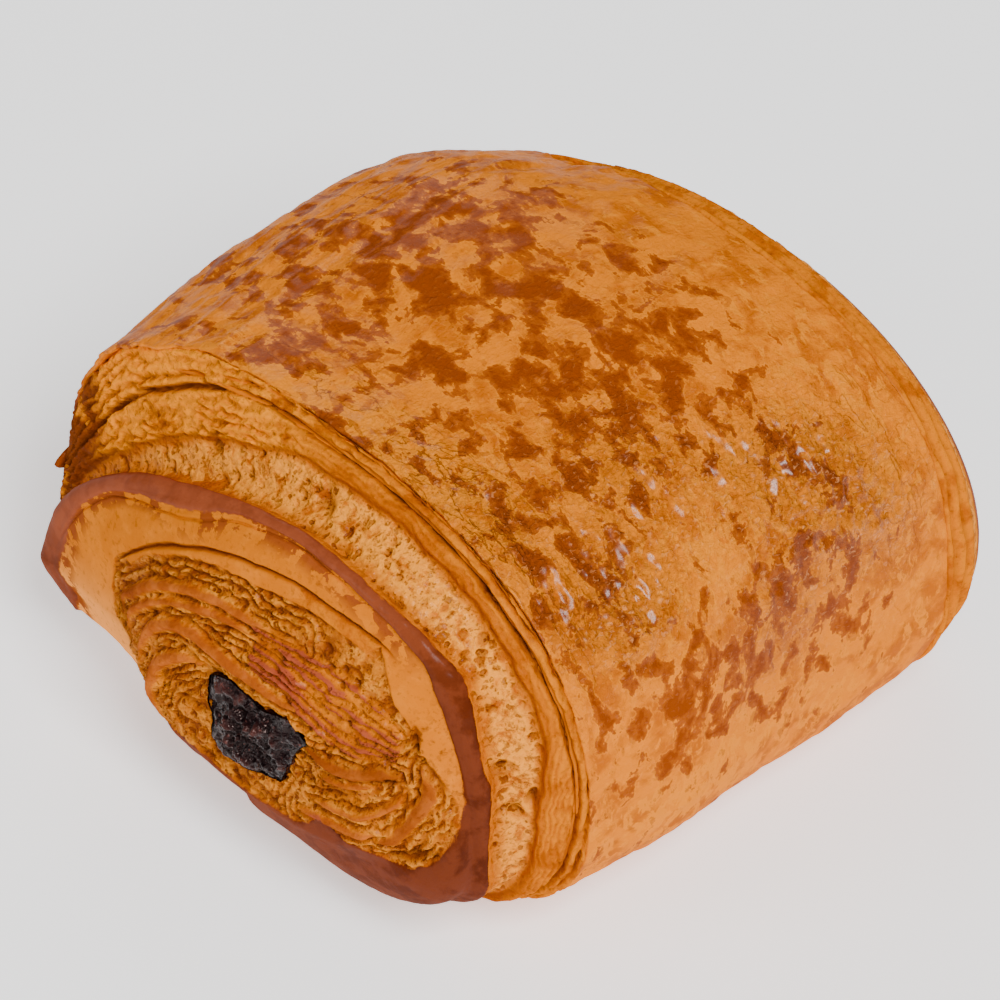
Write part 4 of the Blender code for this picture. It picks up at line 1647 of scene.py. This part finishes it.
@dataclass
class FrontBand(Turns):
    """Rim of the shown end: spongy crumb and the torn sheets of the wrap's cut edge."""

    name: str = "front_band"
    columns: int = 880
    rows: int = 108
    seed: int = 13
    insets: tuple[float, float] = (1.9, 0.5)
    depths: tuple[float, float] = (9.0, 14.0)
    crumb_out: Run = Run(((-90, 7.1), (-20, 7.1), (5, 7.35), (18, 7.72), (33, 7.74), (48, 7.74),
                          (63, 7.75), (74, 7.78), (94, 7.66), (107, 7.44), (118, 7.37), (140, 7.21),
                          (160, 7.1), (270, 7.1)))
    second_gap: float = 1.05
    gap: Run = Run(((-40, 7.6), (-17, 8.0), (-2, 8.2), (5, 8.4), (23, 8.35), (43, 8.3), (56, 8.4),
                    (78, 8.4), (90, 8.35), (101, 8.3), (110, 8.1), (121, 7.87), (132, 7.75), (141, 7.65),
                    (154, 7.5), (175, 7.5)))
    swells: tuple[Zone, ...] = (Zone(7.7, 189, 1.1, 5, -2.6), Zone(6.8, 219, 1.0, 8, -2.4))

    def span(self, angles: Array) -> tuple[Array, Array]:
        """From just under the browned turn's edge out to the wrap's cut edge."""
        return ring_edge(angles) - 0.12, np.full_like(angles, self.loft().last)

    def relief(self, grid: Array, stations: Array, angles: Array) -> tuple[Array, dict[str, Array]]:
        """Relief of this part, as Turns.relief asks for."""
        noise = Relief(self.seed)
        profile = Profile(grid, stations, angles)
        degrees = np.degrees(angles)[None, :]
        wobble = 0.26 * noise.layered(grid, 3.0, 4)
        past_ring = profile.lengths - 0.4
        past_crumb = profile.past(self.crumb_out) + 2.2 * wobble
        crumb = smooth_step(-0.2, 0.5, past_ring) * (1 - smooth_step(-0.5, 0.1, past_crumb))
        toasted = (1 - smooth_step(0.3, 1.7, past_ring + wobble)) + smooth_step(-1.3, -0.2, past_crumb)

        push = [noise.layered(grid + shift, 1.5, 2) for shift in (300, 330, 360)]
        bent = grid + 0.55 * np.stack(push, axis=-1)
        nearest = noise.cells(bent * [1.0, 0.8, 1.0], 1.15)
        large = noise.cells(bent * [0.85, 0.7, 0.85] + 31, 2.9)
        lively = smooth_step(-0.35, 0.25, noise.layered(grid + 51, 3.0, 2))
        pores = smooth_step(0.42, 0.16, nearest) * lively
        some = smooth_step(-0.15, 0.15, noise.layered(grid + 5, 5.0, 2))
        caves = smooth_step(0.42, 0.16, large) * crumb * some
        rough = noise.layered(grid + 70, 1.3, 4, 0.65)
        height = -0.45 * crumb - 0.45 * pores * crumb - 0.85 * caves + 0.34 * rough * crumb

        sheets = smooth_step(-0.2, 0.3, past_crumb)
        gap = profile.past(self.gap) + wobble
        gap_on = self.gap.presence(angles)[None, :]
        broken = 0.45 + 0.55 * smooth_step(-0.3, 0.1, noise.layered(grid + 160, 1.8, 3))
        groove = ridge(0.0, 0.40, gap) * gap_on * (0.35 + 0.65 * broken)
        finer = ridge(self.second_gap, 0.24, gap + 0.6 * wobble) * gap_on * (1.2 - broken)
        groove = np.maximum(groove, finer)
        fringe = ridge(0.0, 0.40, past_crumb - 0.1)
        upper = smooth_step(84, 100, degrees)
        drift = noise.layered(grid * [1.0, 0.6, 1.0] + 180, 3.0, 4, 0.6)
        layers = np.cos(2 * np.pi * (past_crumb / (0.8 + 0.45 * upper) + 1.5 * drift)) * sheets
        torn = upper * sheets
        to_rim = np.maximum(profile.lengths[-1:] - profile.lengths, 0.0)
        over = gap - self.second_gap
        lobe = np.where(gap < 0, past_crumb / np.maximum(past_crumb - gap, 0.3), gap / self.second_gap)
        lobe = unit(np.where(over > 0, over / np.maximum(over + to_rim, 0.3), lobe))
        lobe = (4 * lobe * (1 - lobe)) ** 0.45 * gap_on * sheets
        height = height + sheets * (0.10 + 0.45 * lobe * (1 - 0.6 * upper)) - 0.9 * groove - 0.25 * fringe
        shown = smooth_step(-0.35, 0.25, noise.layered(grid + 400, 3.5, 3))
        height = height + layers * (0.09 + 0.20 * torn * shown) + 0.24 * rough * torn
        height = height + 0.05 * noise.layered(grid + 11, 1.6, 3)
        height = height * smooth_step(0.0, self.base_fade, grid[..., 2])
        height = height + total_share(self.swells, stations, angles)

        # Painted shade for the finish: darkening in the pores, caves, grooves, along the crumb's edge and
        # between the sheets; the brown flakes on the left are their own colour.
        dark = smooth_step(0.1, 0.9, -layers)
        brown = band(150, 184, 6, degrees) * smooth_step(-0.30, 0.0, drift) * sheets
        deep = 0.6 * pores * crumb + 0.75 * caves + 0.95 * groove + 0.4 * fringe
        deep = deep + dark * (0.25 + 0.25 * torn * shown) + 0.9 * brown
        blank = np.full(grid.shape[:-1], OUTSIDE)
        values = {
            "browned": blank,
            "fold": blank,
            "rose": 1 - smooth_step(0.6, 1.6, past_crumb),
            "glaze": blank,
            "patches": np.zeros_like(height),
            # Brighter torn sheets on the upper left, partly painted light for a side that the key light
            # leaves in shade.
            "lobe": unit(0.9 * upper * sheets * (1 - brown)),
            "crumb": unit(crumb * (1 - 0.8 * unit(toasted))),
            "sheet": unit(sheets + 0.35 * toasted * (1 - sheets)),
            "deep": unit(deep),
            "spongy": unit(crumb + 0.5 * torn),
        }
        return height, values


@dataclass
class BackTurns(Turns):
    """The hidden end, finished like the shown one but calmer."""

    name: str = "back_turns"
    columns: int = 440
    rows: int = 160
    seed: int = 12
    end: End = End.BACK
    ring_out: float = 6.4
    ring_in: float = 5.2
    turns: tuple[float, ...] = (0.9, 1.9, 2.9, 3.8)
    drift: float = 0.8

    def loft(self) -> Loft:
        """Outlines of this end, from the hole outwards."""
        return Loft(back_outlines()[::-1])

    def span(self, angles: Array) -> tuple[Array, Array]:
        """From the stick's hole out to the wrap's cut edge."""
        return np.zeros_like(angles), np.full_like(angles, self.loft().last)

    def relief(self, grid: Array, stations: Array, angles: Array) -> tuple[Array, dict[str, Array]]:
        """Relief of this part, as Turns.relief asks for."""
        noise = Relief(self.seed)
        profile = Profile(grid, stations, angles)
        wobble = 0.25 * noise.layered(grid, 4.0, 3)
        turn = (np.degrees(angles) + 90) / 360

        def winding(station: float) -> Run:
            """Line that drifts outwards once round.

            Args:
                station: station where it starts.

            Returns:
                The line.
            """
            places = zip(np.degrees(angles), station + self.drift * turn)
            return Run(tuple((float(degree), float(place)) for degree, place in places))

        flat_in = Run(((-90, self.ring_in), (270, self.ring_in)))
        flat_out = Run(((-90, self.ring_out), (270, self.ring_out)))
        past_in = profile.past(flat_in) + wobble
        past_out = profile.past(flat_out) + wobble
        ring = np.minimum(past_in, -past_out)
        width = np.maximum(past_in - past_out, 0.5)
        height = 0.4 * np.clip(4 * past_in * -past_out / width ** 2, 0.0, 1.0) ** 0.7
        fold = np.full(grid.shape[:-1], OUTSIDE)
        for station in self.turns:
            away = np.abs(profile.past(winding(station)) + wobble)
            height = np.maximum(height, 0.45 * ridge(0.0, 0.8, away))
            fold = np.maximum(fold, 0.6 - away)
        crumb = smooth_step(0.3, 1.2, past_out) * (1 - smooth_step(7.3, 7.7, stations))
        open_face = (1 - smooth_step(-0.3, 0.1, fold)) * (1 - smooth_step(4.4, 4.9, stations))
        spongy = unit(crumb + open_face)
        nearest = noise.cells(grid * [1.0, 0.7, 1.0], 1.35)
        pores = smooth_step(0.40, 0.15, nearest)
        height = height - 0.35 * spongy - 0.4 * pores * spongy
        height = height + 0.28 * noise.layered(grid + 70, 1.3, 4, 0.62) * spongy
        sheets = smooth_step(7.4, 7.9, stations)
        layers = np.cos(2 * np.pi * (stations / 0.55 + 0.5 * noise.layered(grid, 5.0, 2)))
        height = height + 0.25 * sheets * layers
        height = height * smooth_step(0.0, self.base_fade, grid[..., 2])
        glaze = np.minimum(0.1 - past_in, (stations - 4.7) * 3)
        values = {
            "browned": signed(ring),
            "fold": signed(fold),
            "rose": np.zeros_like(height),
            "glaze": signed(glaze),
            "patches": np.full_like(height, 0.8),
            "lobe": np.zeros_like(height),
            "crumb": unit(crumb + 0.4 * open_face),
            "sheet": sheets,
            # Painted shade in the pores and between the sheets.
            "deep": unit(0.6 * pores * spongy + 0.3 * sheets * smooth_step(0, 1, -layers)),
            "spongy": spongy,
        }
        return height, values


@dataclass
class Sheets:
    """Thin sheets of dough that stand out of the wrap's cut edge at one end."""

    end: End
    columns: int = 640
    thickness: float = 0.42
    depth: float = 3.0
    sunken: float = 0.45
    seed: int = 77
    profile: int = 10
    middle: tuple[float, float, float] = (0.0, 0.0, 18.0)
    places: tuple[tuple[float, float], ...] = ((8.95, 0.25), (8.62, 0.35), (8.28, 0.35))

    def sheet(self, order: int, station: float, proud: float) -> Array:
        """One thin ring-shaped sheet with an uneven edge.

        Args:
            order: number of the sheet, which seeds its unevenness.
            station: station of the loft that it follows.
            proud: how far its edge stands out.

        Returns:
            Points of the closed ring.
        """
        outlines = front_outlines() if self.end is End.FRONT else back_outlines()[::-1]
        loft = Loft(outlines)
        angles = np.linspace(0, 2 * np.pi, self.columns, endpoint=False)
        line = loft.points(np.array([station]), angles)[0]
        noise = Relief(self.seed + order)
        uneven = noise.layered(line, 6.0, 4)
        drift = noise.layered(line + 40, 9.0, 3)
        outward = line - self.middle
        outward[:, 1] = 0.0
        outward /= np.linalg.norm(outward, axis=1, keepdims=True)
        flat = smooth_step(0.0, 3.0, line[:, 2])[:, None]
        out = self.end.value
        rows = []
        for turn in np.linspace(0, 2 * np.pi, self.profile, endpoint=False):
            across = 0.5 * self.thickness * math.sin(turn)
            along = math.cos(turn)
            reach = np.where(along > 0, proud + 0.45 * uneven, -self.depth) * abs(along)
            shift = (across + 0.25 * drift - self.sunken)[:, None] * outward
            row = line + shift * flat
            row[:, 1] += out * reach
            row[:, 2] = np.maximum(row[:, 2], 0.02)
            rows.append(row)
        return np.array(rows)

    def build(self) -> bpy.types.Object:
        """Join the sheets of this end into one piece and dress it."""
        points = []
        faces = []
        count = 0
        for order, (station, proud) in enumerate(self.places):
            ring = self.sheet(order, station, proud)
            quads = ring_faces(ring)
            if self.end is End.BACK:
                quads = quads[:, ::-1]
            points.append(ring.reshape(-1, 3))
            faces.append(quads + count)
            count += len(points[-1])
        name = "front_sheets" if self.end is End.FRONT else "back_sheets"
        piece = make_mesh(name, np.concatenate(points), np.concatenate(faces), {})
        dress(piece, SheetEdge().make(), "pastry_roll")
        return piece


@dataclass
class Stick:
    """Chocolate stick through the roll, with a broken lumpy face at each end."""

    width: float = 12.2
    height: float = 8.4
    front: float = -31.9
    back: float = 33.0
    power: float = 2.8
    columns: int = 180
    cap_rings: int = 44
    side_rows: int = 60
    neck: float = 1.6
    seed: int = 5

    def outlines(self, y: Array, directions: Array) -> Array:
        """Outlines of the stick, broken at the front and plain behind.

        Args:
            y: place of each row along the roll.
            directions: directions across the stick in radians.

        Returns:
            Distance of its side from its middle.
        """
        across = (np.abs(np.cos(directions)) / (self.width / 2)) ** self.power
        upward = (np.abs(np.sin(directions)) / (self.height / 2)) ** self.power
        plain = (across + upward) ** (-1 / self.power)
        broken = 1 - smooth_step(self.front + 0.5, self.front + 0.5 + self.neck, y)
        return plain + (lump_reach(directions) - plain)[None, :] * broken[:, None]

    def build(self) -> bpy.types.Object:
        """Model the bar and its two lumpy ends, and dress it."""
        directions = np.linspace(0, 2 * np.pi, self.columns, endpoint=False)
        caps = np.linspace(0.02, 1.0, self.cap_rings)
        side = np.linspace(0.0, 1.0, self.side_rows + 2)[1:-1] ** 1.6
        side_y = self.front + side * (self.back - self.front - 0.3)
        y = np.concatenate([np.full_like(caps, self.front), side_y, np.full_like(caps, self.back)])
        share = np.concatenate([caps, np.ones_like(side), caps[::-1]])
        noise = Relief(self.seed)
        circle = 5 * np.stack([np.cos(directions), np.zeros_like(directions), np.sin(directions)], axis=-1)
        uneven = 1 + 0.10 * noise.layered(circle, 1.6, 3, 0.6)
        reach = self.outlines(y, directions) * share[:, None] * uneven
        grid = np.stack([STICK_MIDDLE[0] + reach * np.cos(directions),
                         np.broadcast_to(y[:, None], reach.shape),
                         STICK_MIDDLE[1] + reach * np.sin(directions)], axis=-1)
        lumps = noise.layered(grid, 2.0, 4, 0.6)
        nearest = noise.cells(grid + 9, 1.5)
        crags = 1.3 * lumps + 1.1 * (0.45 - nearest) + 0.35 * noise.layered(grid + 40, 0.8, 3)
        edge = share[:, None] ** 4
        cap = (share[:, None] < 1.0) | (np.abs(y[:, None]) > 31.85)
        outward = np.sign(grid[..., 1])
        broken = np.clip(0.35 + 1.2 * crags, -1.2, 1.4)
        bulge = np.where(outward < 0, broken, np.clip(crags - 0.9, -1.6, 0.0))
        grid[..., 1] += np.where(cap, outward * (bulge * (1 - 0.8 * edge) - 0.3 * edge), 0.0)
        faces = ring_faces(grid)[:-self.columns]
        first = np.arange(self.columns)
        last = first + (len(y) - 1) * self.columns
        points = grid.reshape(-1, 3)
        ends = np.array([grid[0].mean(axis=0), grid[-1].mean(axis=0)])
        # The crest heights also tell the finish where to paint the chocolate's highlights.
        crests = np.concatenate([crags.ravel(), [0.0, 0.0]])
        count = len(points)
        front_fan = np.stack([np.full_like(first, count), first, np.roll(first, -1)], axis=-1)
        back_fan = np.stack([np.full_like(first, count + 1), np.roll(last, -1), last], axis=-1)
        triangles = np.concatenate([faces[:, [0, 1, 2]], faces[:, [0, 2, 3]], front_fan, back_fan])
        piece = make_mesh("chocolate_bar", np.concatenate([points, ends]), triangles, {"crest": crests})
        dress(piece, DarkChocolate().make(), "chocolate_stick")
        return piece


def main() -> None:
    """Build the studio and every piece of the pastry in order."""
    logging.basicConfig(level=logging.INFO, format="%(message)s")
    Studio().build()
    Wrap().build()
    FrontSpiral().build()
    FrontBand().build()
    BackTurns().build()
    Sheets(End.FRONT).build()
    Sheets(End.BACK).build()
    Stick().build()


if __name__ == "__main__":
    main()
